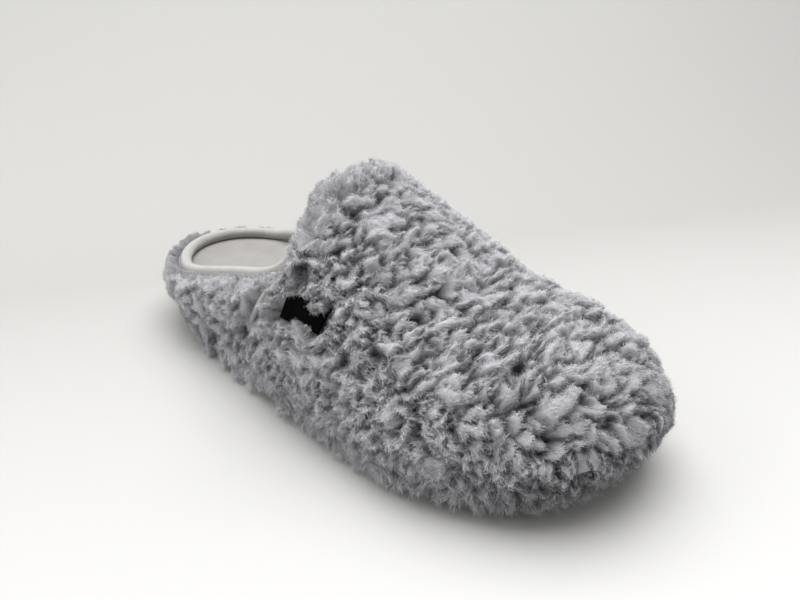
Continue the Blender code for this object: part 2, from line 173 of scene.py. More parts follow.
# Places where the pile stands higher: middle, reach, height
Swell = namedtuple("Swell", "middle reach height")
SWELLS = (
    Swell((0.102, 0.038, 0.045), 0.026, 0.0022),
    Swell((-0.005, -0.018, 0.0925), 0.016, 0.0032),
)

# Fleece: clumps of wool round scattered seeds, and the fibres on them
FINE_ROWS = 200
FINE_COLUMNS = 224
FINE_CORNER = 40
FINE_STEPS = 300
CLUMP_SEED = 11
CANDIDATES = 60000
TOP_SPACING = 0.0034
TOE_SPACING = 0.0056
SIDE_SPACING = 0.0026
WRAP_SPACING = 0.0058
NEIGHBOURS = 16
TOP_NAP = (0.40, 0.90, 0.0)
TOE_NAP = (0.75, 0.60, 0.0)
SIDE_NAP = (0.28, 0.0, -1.0)
WRAP_NAP = (-0.12, 0.0, -1.0)
PILE_VAMP = 0.0112
PILE_WRAP = 0.0084
PILE_COLLAR = 0.0020
PILE_THROAT = 0.0062
PILE_RIM = 0.0034
PILE_HEEL = 0.0072
PILE_SOLE = 0.0085
PILE_HEEL_FOOT = 0.0018
PILE_SEAM = 0.0034
PILE_LABEL = 0.0040
TIP_TRIM = 0.0016
TOE_FOOT_TRIM = 0.0026
CROWN_TRIM = 0.0026
TUFT_SHARE = 2.3
CREASE = 0.0034
DEEP_CREASE = 0.0034
LEAN = 0.0024
SHINGLE = 0.0005
FRINGE = 0.0072
THROAT_OVERHANG = 0.0016
RIM_OVERHANG = 0.0008
SEAM_CLEAR = 0.0020
SEAM_REACH = 0.0060
SEAM_PARTING = 1.6
FRINGE_REACH = (0.002, 0.012)
RIM_REACH = (0.002, 0.009)
SPACING_SPREAD = (0.75, 1.35)
CLUMP_SPREAD = 0.0009
SWIRL = 0.8
FIBRE_SEED = 23
FIBRE_COUNT = 365000
EDGE_SEED = 31
EDGE_COUNT = 16000
FIBRE_WIDTH = 0.00016
TIP_LIFT = (0.0001, 0.0010)
FIBRE_LENGTH = (0.0015, 0.0031)
FIBRE_SINK = 0.0005
FLOOR_CLEAR = 0.0004
FIBRE_ROLL = 0.5
FUZZ_SHARE = 0.12
# Painted shade on the toe and the sides and painted light at the throat, in the fibres' tone
TOE_PAINTED_SHADE = 0.23
THROAT_PAINTED_LIGHT = 0.06
SIDE_PAINTED_SHADE = 0.06
EDGE_LENGTH = (0.0012, 0.0030)
EDGE_CLEAR = 0.0030

# Noise that bends the clumps' borders: scale, seeds, size
WARPS = ((0.006, (41, 42, 43), 0.0008), (0.012, (51, 52, 53), 0.0022))

# Tones of the wool, from the root to the tip; the dark root end is partly the wool's own tone and partly
# painted shade deep in the pile
WOOL_TONES_AND_ROOT_SHADE = (
    (0.0, (0.04, 0.04, 0.044)),
    (0.30, (0.25, 0.25, 0.265)),
    (0.65, (0.58, 0.58, 0.605)),
    (1.0, (0.83, 0.83, 0.86)),
)
Fibres = namedtuple("Fibres", "root middle tip normal width roll strand share")

# Zones of the fleece, from where each starts to where it is full. BACK_X and HEEL_X count towards the heel
TOP_NORMAL_Z = (0.30, 0.75)
THROAT_Z = (0.062, 0.078)
CROWN_Z = (0.068, 0.090)
TIP_X = (0.108, 0.128)
TOE_FOOT_X = (0.050, 0.095)
BACK_X = (0.070, 0.105)
HEEL_X = (0.085, 0.115)
HEEL_Y = (-0.010, 0.015)

# Distances from the seams, the label and the edges over which the pile rises, and the reach without fibres
SEAM_BED = (0.0016, 0.0056)
LABEL_BED_EDGE = (0.0006, 0.0034)
COLLAR_RISE = 0.007
HEEL_RIM_LESS = 0.0025
FOOT_RISE = 0.015
BACK_FOOT_MORE = 0.006
LABEL_BARE = 0.0014


def ease(share):
    return share * share * (3 - 2 * share)


def step_up(value, low, high):
    return ease(np.clip((value - low) / (high - low), 0, 1))


def unit(vectors):
    return vectors / np.maximum(np.linalg.norm(vectors, axis=-1, keepdims=True), 1e-12)


def dot(first, second):
    return np.sum(first * second, axis=-1, keepdims=True)


def flattened(vectors, normals):
    """Directions laid into the surface that has these normals."""
    return unit(vectors - normals * dot(vectors, normals))


def at_height(places, heights):
    return np.concatenate([places, heights[..., None]], -1)


def ripple(points, scale, seed, waves=7):
    """Smooth noise over space, from about -1 to 1, with features of about the scale."""
    chance = np.random.RandomState(seed)
    pull = unit(chance.normal(0, 1, (waves, 3))) * (2 * np.pi / scale) * chance.uniform(0.6, 1.5, (waves, 1))
    phase = chance.uniform(0, 2 * np.pi, waves)
    return np.sin(points @ pull.T + phase).sum(axis=-1) * np.sqrt(2 / waves) / 1.4


def toe_spring(x):
    share = np.clip((x - SPRING_START) / (HEEL_BACK + LENGTH - SPRING_START), 0, None)
    return TOE_SPRING * share ** 2


def run_along(path):
    return np.concatenate([[0], np.cumsum(np.linalg.norm(np.diff(path, axis=0), axis=1))])


def place_on(table, run, place):
    return np.stack([np.interp(place, run, column) for column in table.T], -1)


def section_at(row):
    """The section's shares at each row, from 0 at the throat to 1 at the toe, on a smooth curve."""
    table = np.array(SECTIONS)
    last = len(table) - 1
    place = np.clip(row, 0, 1) * last
    first = np.minimum(place.astype(int), last - 1)
    share = (place - first)[..., None]
    before, start, end, after = (table[np.clip(first + k, 0, last)] for k in (-1, 0, 1, 2))
    leave = np.where((first > 0)[..., None], (end - before) / 2, end - start)
    arrive = np.where((first + 2 <= last)[..., None], (after - start) / 2, end - start)
    sizes = start + (end - start) * ease(share)
    sizes += leave * share * (1 - share) ** 2 - arrive * share ** 2 * (1 - share)
    return Section(*np.moveaxis(sizes, -1, 0))


def vamp_foot(x_share, y_share):
    x = HEEL_BACK + x_share * LENGTH
    return np.stack([x, y_share * BALL_WIDTH, EDGE_HEIGHT + toe_spring(x)], -1)


def vamp(row, column):
    """Backing of the vamp at a row (0 throat to 1 toe) and a column (-1 lateral to 1 medial)."""
    size = section_at(row)
    lateral = vamp_foot(size.lateral_x, size.lateral_y)
    medial = vamp_foot(size.medial_x, size.medial_y)
    crown_x = HEEL_BACK + size.crown_x * LENGTH
    crown = np.stack([crown_x, size.crown_y * BALL_WIDTH, size.crown_z * INSTEP_HEIGHT], -1)
    span = np.radians(size.span)
    turn = column * span
    across = np.sign(turn) * (np.abs(np.sin(turn)) / np.sin(span)) ** ARCH_POWER
    rise = np.clip((np.cos(turn) - np.cos(span)) / (1 - np.cos(span)), 0, None) ** ARCH_POWER
    middle = (lateral + medial) / 2
    return middle + across[..., None] * (medial - lateral) / 2 + rise[..., None] * (crown - middle)


def lateral_column(row, height):
    """Column of the vamp's lateral side that lies at a height, behind the toe spring."""
    size = section_at(row)
    span = np.radians(size.span)
    rise = (height - EDGE_HEIGHT) / (size.crown_z * INSTEP_HEIGHT - EDGE_HEIGHT)
    return -np.arccos(np.cos(span) + (1 - np.cos(span)) * rise ** (1 / ARCH_POWER)) / span


def heel_plan(along):
    """Plan of the heel wrap's foot, from the lateral seam (0) round the heel to the medial seam (1)."""
    seam = SECTIONS[0]
    angle = np.linspace(-np.pi / 2, np.pi / 2, 2 * PLAN_STEPS + 1)
    heel = np.column_stack([HEEL_BACK + HEEL_DEPTH * (1 - np.cos(angle)), HEEL_WIDTH / 2 * np.sin(angle)])
    share = np.linspace(0, 1, PLAN_STEPS + 1)[:-1]
    sides = []
    for x, y, end in ((seam.lateral_x, seam.lateral_y, heel[0]), (seam.medial_x, seam.medial_y, heel[-1])):
        start = vamp_foot(x, y)
        forward = start[0] + (end[0] - start[0]) * share
        sideways = start[1] + (end[1] - start[1]) * ease(share)
        sides.append(np.column_stack([forward, sideways]))
    path = np.concatenate([sides[0], heel, sides[1][::-1]])
    run = run_along(path)
    return place_on(path, run, np.asarray(along) * run[-1])


def wrap(up, along):
    """Backing of the heel wrap, from the sole (up 0) to the rim (up 1), blending into the vamp's seams."""
    foot = heel_plan(along)
    ahead = heel_plan(np.clip(along + SLOPE_STEP, 0, 1)) - heel_plan(np.clip(along - SLOPE_STEP, 0, 1))
    outward = unit(np.stack([-ahead[..., 1], ahead[..., 0]], -1))
    close = np.clip(1 - np.minimum(along, 1 - along) / COLLAR_FALL, 0, 1)
    seam_share = ((close + ease(close)) / 2)[..., None]
    side = np.where(along < 0.5, -1.0, 1.0)
    throat = np.zeros_like(up)
    seam = vamp(throat, side * (1 - up * CORNER_SHARE)) - vamp(throat, side)
    swell = HEEL_SWELL * np.sin(np.pi * up) + HEEL_FLARE * up ** 2
    heel = np.concatenate([outward * swell[..., None], ((RIM_HEIGHT - EDGE_HEIGHT) * up)[..., None]], -1)
    base = np.concatenate([foot, np.full(foot.shape[:-1] + (1,), EDGE_HEIGHT)], -1)
    return base + seam_share * seam + (1 - seam_share) * heel


def normal_of(surface, first, second, first_range, second_range):
    """Outward normals of a surface at its parameters, by small steps inside their ranges."""
    across_first = surface(np.clip(first + SLOPE_STEP, *first_range), second)
    across_first = across_first - surface(np.clip(first - SLOPE_STEP, *first_range), second)
    across_second = surface(first, np.clip(second + SLOPE_STEP, *second_range))
    across_second = across_second - surface(first, np.clip(second - SLOPE_STEP, *second_range))
    return unit(np.cross(across_first, across_second))


class Shell:
    """The upper's backing as one grid: points, outward normals, faces, and its collar and sole edges."""

    def __init__(self, rows, columns, corner, steps):
        self.rows, self.columns, self.corner, self.steps = rows, columns, corner, steps
        self.vamp = index_grid(rows + 1, columns + 1)
        inner = index_grid(steps - 1, corner + 1, self.vamp.size)
        seams = self.vamp[0, :corner + 1], self.vamp[0, ::-1][:corner + 1]
        self.wrap = np.concatenate([seams[:1], inner, seams[1:]])
        row, column = np.meshgrid(np.linspace(0, 1, rows + 1), np.linspace(-1, 1, columns + 1), indexing="ij")
        along, up = np.meshgrid(np.linspace(0, 1, steps + 1), np.linspace(0, 1, corner + 1), indexing="ij")
        along, up = along[1:-1], up[1:-1]
        vamp_normal = normal_of(vamp, row, column, (0, 1), (-1, 1))
        wrap_normal = normal_of(wrap, up, along, (0, 1), (0, 1))
        self.points = np.concatenate([vamp(row, column).reshape(-1, 3), wrap(up, along).reshape(-1, 3)])
        self.normals = np.concatenate([vamp_normal.reshape(-1, 3), wrap_normal.reshape(-1, 3)])
        self.row = np.concatenate([row.ravel(), np.full(along.size, -1.0)])
        self.normals[self.sole_edge(), 2] = 0
        self.normals = unit(self.normals)
        self.round_corners()

    def collar(self, depth=0):
        """Indices round the collar, lateral corner first, at a depth of rows from the edge."""
        throat = self.vamp[depth, self.corner:self.columns - self.corner + 1]
        return np.concatenate([throat, self.wrap[-2:0:-1, self.corner - depth]])

    def sole_edge(self):
        """Indices round the sole: lateral side to the toe, across the toe, medial side, heel."""
        sides = [self.vamp[:, 0], self.vamp[-1, 1:], self.vamp[-2::-1, -1], self.wrap[-2:0:-1, 0]]
        return np.concatenate(sides)

    def faces(self):
        return np.concatenate([grid_faces(self.vamp)[:, [0, 3, 2, 1]], grid_faces(self.wrap)])

    def round_corners(self):
        """Smooth the collar where the rim turns up into the throat, to the same radius on any grid."""
        collar = self.collar()
        edge = self.points[collar]
        away = [np.linalg.norm(edge - edge[k], axis=1) for k in (0, self.columns - 2 * self.corner)]
        weight = np.exp(-(np.min(away, axis=0) / CORNER_REACH) ** 2)[:, None]
        for _ in range(CORNER_SMOOTHING * self.rows ** 2 // SMOOTHED_ROWS ** 2):
            middle = (np.roll(edge, 1, axis=0) + np.roll(edge, -1, axis=0)) / 2
            edge = edge + weight * (middle - edge) / 2
        self.points[collar] = edge


def index_grid(rows, columns, start=0):
    return start + np.arange(rows * columns).reshape(rows, columns)


def grid_faces(index):
    """Quads of a grid of indices."""
    corners = [index[:-1, :-1], index[:-1, 1:], index[1:, 1:], index[1:, :-1]]
    return np.stack(corners, -1).reshape(-1, 4)


def strip(loop, other):
    """Quads between two closed loops of the same length."""
    return np.stack([loop, np.roll(loop, -1), np.roll(other, -1), other], -1)


def add_piece(name, points, faces, material, uv=None):
    """A smooth mesh from points and a list of face arrays, each with its own number of corners."""
    blocks = [np.asarray(block, dtype=np.int32) for block in faces]
    sizes = np.concatenate([np.full(len(block), block.shape[1], dtype=np.int32) for block in blocks])
    corners = np.concatenate([block.ravel() for block in blocks])
    mesh = bpy.data.meshes.new(name)
    mesh.vertices.add(len(points))
    mesh.vertices.foreach_set("co", np.asarray(points, dtype=np.float32).ravel())
    mesh.loops.add(len(corners))
    mesh.loops.foreach_set("vertex_index", corners)
    mesh.polygons.add(len(sizes))
    starts = np.concatenate([[0], np.cumsum(sizes)[:-1]]).astype(np.int32)
    mesh.polygons.foreach_set("loop_start", starts)
    mesh.update(calc_edges=True)
    mesh.shade_smooth()
    if uv is not None:
        layer = mesh.uv_layers.new(name="OFBake")
        layer.data.foreach_set("uv", np.asarray(uv, dtype=np.float32)[corners].ravel())
    mesh.materials.append(material)
    piece = bpy.data.objects.new(name, mesh)
    bpy.context.scene.collection.objects.link(piece)
    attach(piece, BODY)
    return piece


class Finish:
    """A Principled material, and short ways to add and link its nodes."""

    def __init__(self, name, **sockets):
        self.material = bpy.data.materials.new(name)
        self.material.use_nodes = True
        self.tree = self.material.node_tree
        self.shader = self.tree.nodes["Principled BSDF"]
        for socket, value in sockets.items():
            self.shader.inputs[socket.replace("_", " ")].default_value = value

    def node(self, kind, **values):
        node = self.tree.nodes.new(kind)
        for name, value in values.items():
            if name in node.inputs:
                node.inputs[name].default_value = value
            else:
                setattr(node, name, value)
        return node

    def link(self, source, target):
        self.tree.links.new(source, target)

    def feed(self, socket, source):
        self.link(source, self.shader.inputs[socket])

    def noise(self, place, **values):
        node = self.node("ShaderNodeTexNoise", **values)
        self.link(place, node.inputs["Vector"])
        return node.outputs["Fac"]

    def math(self, operation, *terms):
        """The result of an operation on terms that are sockets or plain numbers."""
        node = self.node("ShaderNodeMath", operation=operation)
        for socket, term in zip(node.inputs, terms):
            if isinstance(term, float):
                socket.default_value = term
            else:
                self.link(term, socket)
        return node.outputs["Value"]

    def relief(self, height, strength, distance):
        node = self.node("ShaderNodeBump", Strength=strength, Distance=distance)
        self.link(height, node.inputs["Height"])
        self.feed("Normal", node.outputs["Normal"])

    def ramp(self, factor, stops):
        """A colour ramp over a factor, from (place, colour) stops."""
        node = self.node("ShaderNodeValToRGB")
        band = node.color_ramp.elements
        while len(band) < len(stops):
            band.new(0.5)
        for element, (place, colour) in zip(band, stops):
            element.position = place
            element.color = (*colour, 1.0)
        self.link(factor, node.inputs["Fac"])
        return node.outputs["Color"]


def fleece_finish():
    """Wool: dark at the root, partly as painted shade, and pale at the tip, streaked. The map holds a
    strand's place and its share.
    """
    finish = Finish("fleece", Roughness=0.85, Specular_IOR_Level=0.2, Sheen_Weight=0.7, Sheen_Roughness=0.45)
    place = finish.node("ShaderNodeUVMap", uv_map="OFBake").outputs["UV"]
    split = finish.node("ShaderNodeSeparateXYZ")
    finish.link(place, split.inputs["Vector"])
    along = finish.ramp(split.outputs["Y"], WOOL_TONES_AND_ROOT_SHADE)
    stretch = finish.node("ShaderNodeMapping", Scale=(90.0, 7.0, 1.0))
    finish.link(place, stretch.inputs["Vector"])
    stretched = stretch.outputs["Vector"]
    streak = finish.noise(stretched, noise_dimensions="2D", Scale=1.0, Detail=3.0, Roughness=0.7)
    shade = finish.ramp(streak, ((0.30, (0.84, 0.84, 0.85)), (0.68, (1.0, 1.0, 0.995))))
    mix = finish.node("ShaderNodeMix", data_type="RGBA", blend_type="MULTIPLY", Factor=1.0)
    finish.link(along, mix.inputs["A"])
    finish.link(shade, mix.inputs["B"])
    finish.feed("Base Color", mix.outputs["Result"])
    return finish.material


def halves(quads):
    return np.concatenate([quads[:, [0, 1, 2]], quads[:, [0, 2, 3]]])


def areas(points, triangles):
    corner = points[triangles]
    return np.linalg.norm(np.cross(corner[:, 1] - corner[:, 0], corner[:, 2] - corner[:, 0]), axis=1)


def pick(triangles, weight, count, chance):
    """Places picked by weight: the corners of each one's triangle, and its shares of them."""
    chosen = triangles[chance.choice(len(triangles), count, p=weight / weight.sum())]
    first, second = chance.random_sample((2, count))
    flip = first + second > 1
    first[flip], second[flip] = 1 - first[flip], 1 - second[flip]
    return chosen, np.stack([1 - first - second, first, second], 1)


def shared(share, corners):
    return np.einsum("nk,nkd->nd", share, corners)


def scatter(shell, count, chance):
    """Places spread evenly over the backing: points, normals and rows (-1 on the heel wrap)."""
    triangles = halves(shell.faces())
    chosen, share = pick(triangles, areas(shell.points, triangles), count, chance)
    points = shared(share, shell.points[chosen])
    normals = unit(shared(share, shell.normals[chosen]))
    rows = np.einsum("nk,nk->n", share, shell.row[chosen])
    return points, normals, rows


def tree_of(points):
    tree = KDTree(len(points))
    for k, place in enumerate(points):
        tree.insert(place, k)
    tree.balance()
    return tree


def nearest(points, others):
    """Distance from each point to the nearest other, and its index, in plan or in space."""
    if points.shape[1] == 2:
        points, others = (np.column_stack([table, np.zeros(len(table))]) for table in (points, others))
    tree = tree_of(others)
    found = [tree.find(place)[1:] for place in points]
    return np.array([away for _, away in found]), np.array([index for index, _ in found])


def seam_path(side):
    """Points and normals of the wrap's backing along the vamp's back edge, from the collar down."""
    up = np.linspace(*SEAM_UP, SEAM_POINTS)
    along = np.linspace(*SEAM_ALONG, SEAM_POINTS)
    if side > 0:
        along = 1 - along
    return wrap(up, along), normal_of(wrap, up, along, (0, 1), (0, 1))


def seam_lines():
    return np.concatenate([seam_path(side)[0] for side in (-1.0, 1.0)])


def on_top(normals, rows):
    """How far each place faces up on the vamp, from 0 on the sides and the heel wrap to 1."""
    return step_up(normals[:, 2], *TOP_NORMAL_Z) * (rows >= 0)


def nap_at(normals, rows):
    """The way the pile is combed at each place: across the top towards the big toe, and down the sides."""
    top = on_top(normals, rows)[:, None]
    toe = step_up(rows, 0.55, 0.85)[:, None]
    across = np.array(TOP_NAP) * (1 - toe) + np.array(TOE_NAP) * toe
    nap = top * across + (1 - top) * np.array(SIDE_NAP)
    nap[rows < 0] = WRAP_NAP
    return flattened(nap, normals)


def label_face(along_steps, up_steps):
    """Backing under the label, its normals, and the shares along and up the label, as grids."""
    along, up = np.linspace(0, 1, along_steps + 1), np.linspace(0, 1, up_steps + 1)
    rows, heights = np.linspace(*LABEL_ROWS, along_steps + 1), np.linspace(*LABEL_HEIGHTS, up_steps + 1)
    row, height = np.meshgrid(rows, heights, indexing="ij")
    along, up = np.meshgrid(along, up, indexing="ij")
    column = lateral_column(row, height)
    return vamp(row, column), normal_of(vamp, row, column, (0, 1), (-1, 1)), along, up


def shown_label():
    """The backing under the part of the label that the wool leaves free."""
    skin, _, along, up = label_face(*COVER_STEPS)
    low = 0.32 * (1 - step_up(np.abs(along - 0.66), 0.05, 0.42))
    high = 1 - 0.42 * (1 - step_up(np.abs(along - 0.78), 0.10, 0.40))
    high = high - 0.34 * (1 - step_up(along, 0.0, 0.40))
    return skin[(up >= low) & (up <= high)]


def pile_height(points, rows, collar, sole):
    """Height of the pile over the backing, lower at the edges, along the seams and under the label."""
    x, y, z = points.T
    full = np.where(rows >= 0, PILE_VAMP, PILE_WRAP) - TIP_TRIM * step_up(x, *TIP_X)
    full -= CROWN_TRIM * step_up(z, *CROWN_Z)
    throat = PILE_COLLAR + (PILE_THROAT - PILE_COLLAR) * step_up(z, *THROAT_Z)
    heel = step_up(-x, *HEEL_X) * (1 - step_up(y, *HEEL_Y))
    rim = PILE_RIM + (PILE_HEEL - PILE_RIM) * heel
    brink = np.where(rows >= 0, throat, rim)
    back = step_up(-x, *BACK_X)
    foot = PILE_SOLE + (PILE_HEEL_FOOT - PILE_SOLE) * back - TOE_FOOT_TRIM * step_up(x, *TOE_FOOT_X)
    edges = (
        (collar, brink, 0.0, COLLAR_RISE - HEEL_RIM_LESS * heel),
        (sole, foot, 0.0, FOOT_RISE + BACK_FOOT_MORE * back),
        (seam_lines(), PILE_SEAM, *SEAM_BED),
        (shown_label(), PILE_LABEL, *LABEL_BED_EDGE),
    )
    height = full
    for others, low, near, far in edges:
        limit = low + (full - low) * step_up(nearest(points, others)[0], near, far)
        height = np.minimum(height, limit)
    for swell in SWELLS:
        away = np.linalg.norm(points - np.array(swell.middle), axis=1)
        height = height + swell.height * (1 - step_up(away, 0.0, swell.reach))
    return height


class Fleece:
    """The pile as clumps of wool that lean along the nap, with creases between them."""

    def __init__(self, shell):
        self.shell = shell
        self.collar, self.sole = shell.points[shell.collar()], shell.points[shell.sole_edge()]
        chance = np.random.RandomState(CLUMP_SEED)
        self.sow(chance)
        self.raise_pile()

    def zones(self, points, rows):
        """How far each place is in the sole's fringe and at the collar, and the ways it leans there."""
        on_vamp = rows >= 0
        to_collar, beside = nearest(points, self.collar)
        toward = unit(self.collar[beside] - points)
        seam = seam_lines()
        to_seam, beside = nearest(points, seam)
        parting = unit(points - seam[beside])
        hang = 1 - step_up(nearest(points, self.sole)[0], *FRINGE_REACH)
        throat = (1 - step_up(to_collar, *FRINGE_REACH)) * on_vamp
        rim = (1 - step_up(to_collar, *RIM_REACH)) * ~on_vamp
        high = step_up(points[:, 2], *THROAT_Z)
        over = np.maximum(throat * high, rim)
        beside_seam = 1 - step_up(to_seam, SEAM_CLEAR, SEAM_REACH)
        forward = np.array([1.0, 0.0, 0.0])
        away = parting * beside_seam[:, None] + forward * (throat * (1 - high))[:, None]
        return hang, over, away, toward

    def sow(self, chance):
        """Scatters the seeds evenly, closer across the nap than along it, each with the way it leans."""
        points, normals, rows = scatter(self.shell, CANDIDATES, chance)
        on_vamp = rows >= 0
        top = on_top(normals, rows)
        toe = step_up(rows, 0.55, 0.80)
        upper = TOP_SPACING + (TOE_SPACING - TOP_SPACING) * toe
        spacing = np.where(on_vamp, SIDE_SPACING + (upper - SIDE_SPACING) * top, WRAP_SPACING)
        spacing = spacing * chance.uniform(*SPACING_SPREAD, len(points))
        draw = (0.94 - 0.16 * toe) * top
        hang, over, away, toward = self.zones(points, rows)
        draw = draw * (1 - 0.8 * over)
        spacing = spacing * (1 - 0.35 * over)
        nap = nap_at(normals, rows) + SEAM_PARTING * away
        drawn = np.where(on_vamp, 0.85, 0.60) * over
        nap = nap * (1 - drawn)[:, None] + toward * drawn[:, None]
        nap = flattened(nap, normals)
        parted = np.clip(np.linalg.norm(away, axis=1), 0, 1)
        stray = (1.15 - 0.88 * top) * (1 - 0.65 * hang) * (1 - 0.4 * over) * (1 - 0.5 * parted)
        turn = (0.80 * chance.normal(0, 1, len(points)) + 0.9 * ripple(points, 0.028, 5)) * stray
        side = np.cross(normals, nap)
        nap = nap * np.cos(turn)[:, None] + side * np.sin(turn)[:, None]
        kept, tufts = (self.thin(points, nap, spacing * size, draw) for size in (1.0, TUFT_SHARE))
        self.seed, self.nap, self.spacing, self.draw = points[kept], nap[kept], spacing[kept], draw[kept]
        self.size = chance.normal(0, CLUMP_SPREAD, len(kept))
        self.swirl = chance.normal(0, SWIRL, len(kept)) * (1 - 0.7 * top[kept])
        self.tuft = (points[tufts], nap[tufts], spacing[tufts] * TUFT_SHARE, draw[tufts] * 0.8)

    def thin(self, points, nap, spacing, draw):
        """Keeps each candidate in turn that is clear of those kept before it."""
        placed = np.empty_like(points)
        kept = []
        for index in range(len(points)):
            apart = placed[:len(kept)] - points[index]
            along = apart @ nap[index]
            clear = np.sum(apart ** 2, axis=1) - draw[index] * along ** 2
            if not kept or clear.min() > spacing[index] ** 2:
                placed[len(kept)] = points[index]
                kept.append(index)
        return np.array(kept)

    def cells(self, points, seed, nap, spacing, draw):
        """Each point's cell, its distances to that seed and the next, and how far along the nap it is."""
        tree = tree_of(seed)
        near = np.array([[k for _, k, _ in tree.find_n(place, NEIGHBOURS)] for place in points])
        apart = points[:, None] - seed[near]
        along = np.sum(apart * nap[near], axis=2)
        away = np.sum(apart ** 2, axis=2) - draw[near] * along ** 2
        away = np.sqrt(np.maximum(away, 0)) / spacing[near]
        order = np.argsort(away, axis=1)[:, :2]
        first, second = np.take_along_axis(away, order, axis=1).T
        cell = np.take_along_axis(near, order, axis=1)[:, 0]
        ahead = np.take_along_axis(along, order, axis=1)[:, 0] * np.sqrt(1 - draw[cell]) / spacing[cell]
        return cell, first, second, np.clip(ahead, -1, 1)

    def raise_pile(self):
        """Lifts the backing into clumps: domed inside, creased along their borders, and leaning."""
        shell = self.shell
        warp, wide_warp = (np.stack([ripple(shell.points, scale, seed) for seed in seeds], -1) * size
                           for scale, seeds, size in WARPS)
        bent = shell.points + warp + wide_warp * 0.5
        self.cell, first, second, self.ahead = self.cells(bent, self.seed, self.nap, self.spacing, self.draw)
        dome = np.clip(1 - (first / 0.80) ** 2, 0, 1)
        point = np.clip(1 - first / 0.75, 0, 1)
        deep = ripple(shell.points, 0.012, 61) + 0.6 * ripple(shell.points, 0.006, 62)
        deep = 0.32 + 0.68 * step_up(deep + 0.2 + 0.4 * step_up(shell.row, 0.35, 0.75), -0.3, 0.8)
        self.lump = 1 - deep * (1 - step_up(second - first, 0.05 * deep, 0.33) * (0.64 + 0.36 * dome))
        _, first, second, _ = self.cells(shell.points + warp + wide_warp, *self.tuft)
        self.body = step_up(second - first, 0.0, 0.28)
        self.hang, self.over, _, _ = self.zones(shell.points, shell.row)
        self.lump = self.lump + (1 - self.lump) * 0.5 * self.over
        self.body = self.body + (1 - self.body) * 0.8 * self.over
        full = pile_height(shell.points, shell.row, self.collar, self.sole)
        share = full / PILE_VAMP
        depth = CREASE * (1 - self.lump) + DEEP_CREASE * (1 - self.body)
        height = np.maximum(full - depth * share, 0.30 * full)
        height += (self.size[self.cell] + SHINGLE * self.ahead) * self.lump * share * (1 - 0.6 * self.over)
        nap = self.nap[self.cell]
        nap = flattened(nap, shell.normals)
        lean = LEAN * self.lump * (0.35 + 0.65 * self.body) * share * (1 + 0.2 * self.over)
        far = step_up(shell.points[:, 1], 0.0, 0.02)
        lean += self.over * np.where(shell.row >= 0, THROAT_OVERHANG, RIM_OVERHANG * far)
        x = shell.points[:, 0]
        ends = 0.6 * step_up(-x, *BACK_X) + 0.2 * step_up(x, *TOE_FOOT_X)
        lean += FRINGE * point * self.hang * (1 - ends)
        self.points = keep_off_floor(shell.points + shell.normals * height[:, None] + nap * lean[:, None])
        self.bare = nearest(shell.points, shown_label())[0] < LABEL_BARE
        # How raised each place is in its clump; as the wool's tone it paints shade into the creases
        self.raised = self.lump * (0.45 + 0.55 * self.body)
        faces = shell.faces()
        across = np.cross(self.points[faces[:, 2]] - self.points[faces[:, 0]],
                          self.points[faces[:, 3]] - self.points[faces[:, 1]])
        self.normals = np.zeros_like(self.points)
        for k in range(4):
            np.add.at(self.normals, faces[:, k], across)
        self.normals = unit(self.normals)
        self.faces = faces


def keep_off_floor(points):
    points[..., 2] = np.maximum(points[..., 2], FLOOR_CLEAR)
    return points


def add_fibres(name, fibres, material, parts):
    """Fibres as bent kites through a root, a middle and a tip, in pieces along x."""
    run = fibres.tip - fibres.root
    beside = unit(np.cross(run, fibres.normal))
    level = unit(np.cross(beside, run))
    beside = beside * np.cos(fibres.roll)[:, None] + level * np.sin(fibres.roll)[:, None]
    half = beside * (fibres.width / 2)[:, None]
    points = [fibres.root, fibres.middle - half, fibres.middle + half, fibres.tip]
    points = keep_off_floor(np.stack(points, 1))
    strand = np.broadcast_to(fibres.strand[:, None], fibres.share.shape)
    uv = np.stack([strand, np.clip(fibres.share, 0, 1)], -1)
    order = np.argsort(fibres.root[:, 0], kind="stable")
    for k, chosen in enumerate(np.array_split(order, parts)):
        starts = (np.arange(len(chosen)) * 4)[:, None]
        triangles = np.concatenate([starts + np.array([0, 2, 1]), starts + np.array([1, 2, 3])])
        add_piece(f"{name}_{k + 1}", points[chosen].reshape(-1, 3), [triangles], material,
                  uv[chosen].reshape(-1, 2))


def make_pile(fleece, material):
    """The clumps' surface, closed on its underside by the backing at half its fineness."""
    shell = fleece.shell
    backing = Shell(shell.rows // 2, shell.columns // 2, shell.corner // 2, shell.steps // 2)
    count = len(fleece.points)
    under = backing.faces()[:, ::-1] + count
    rims = []
    for fine, coarse in ((shell.collar(), backing.collar()), (shell.sole_edge(), backing.sole_edge())):
        coarse = coarse + count
        corners = [fine[0::2], fine[1::2], np.roll(fine, -2)[0::2], np.roll(coarse, -1), coarse]
        rims.append(np.stack(corners, 1))
    rims[1] = rims[1][:, ::-1]
    points = np.concatenate([fleece.points, backing.points])
    strand = np.concatenate([0.5 + 0.4 * ripple(fleece.points, 0.004, 6), np.full(len(backing.points), 0.5)])
    # The clumps' tone follows how raised they are: painted shade in the creases
    share = np.concatenate([0.02 + 0.56 * fleece.raised, np.full(len(backing.points), 0.42)])
    uv = np.stack([np.clip(strand, 0, 1), share], -1)
    faces = [np.concatenate([fleece.faces, under]), np.concatenate(rims)]
    piece = add_piece("fleece_pile", points, faces, material, uv)
    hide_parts("upper")


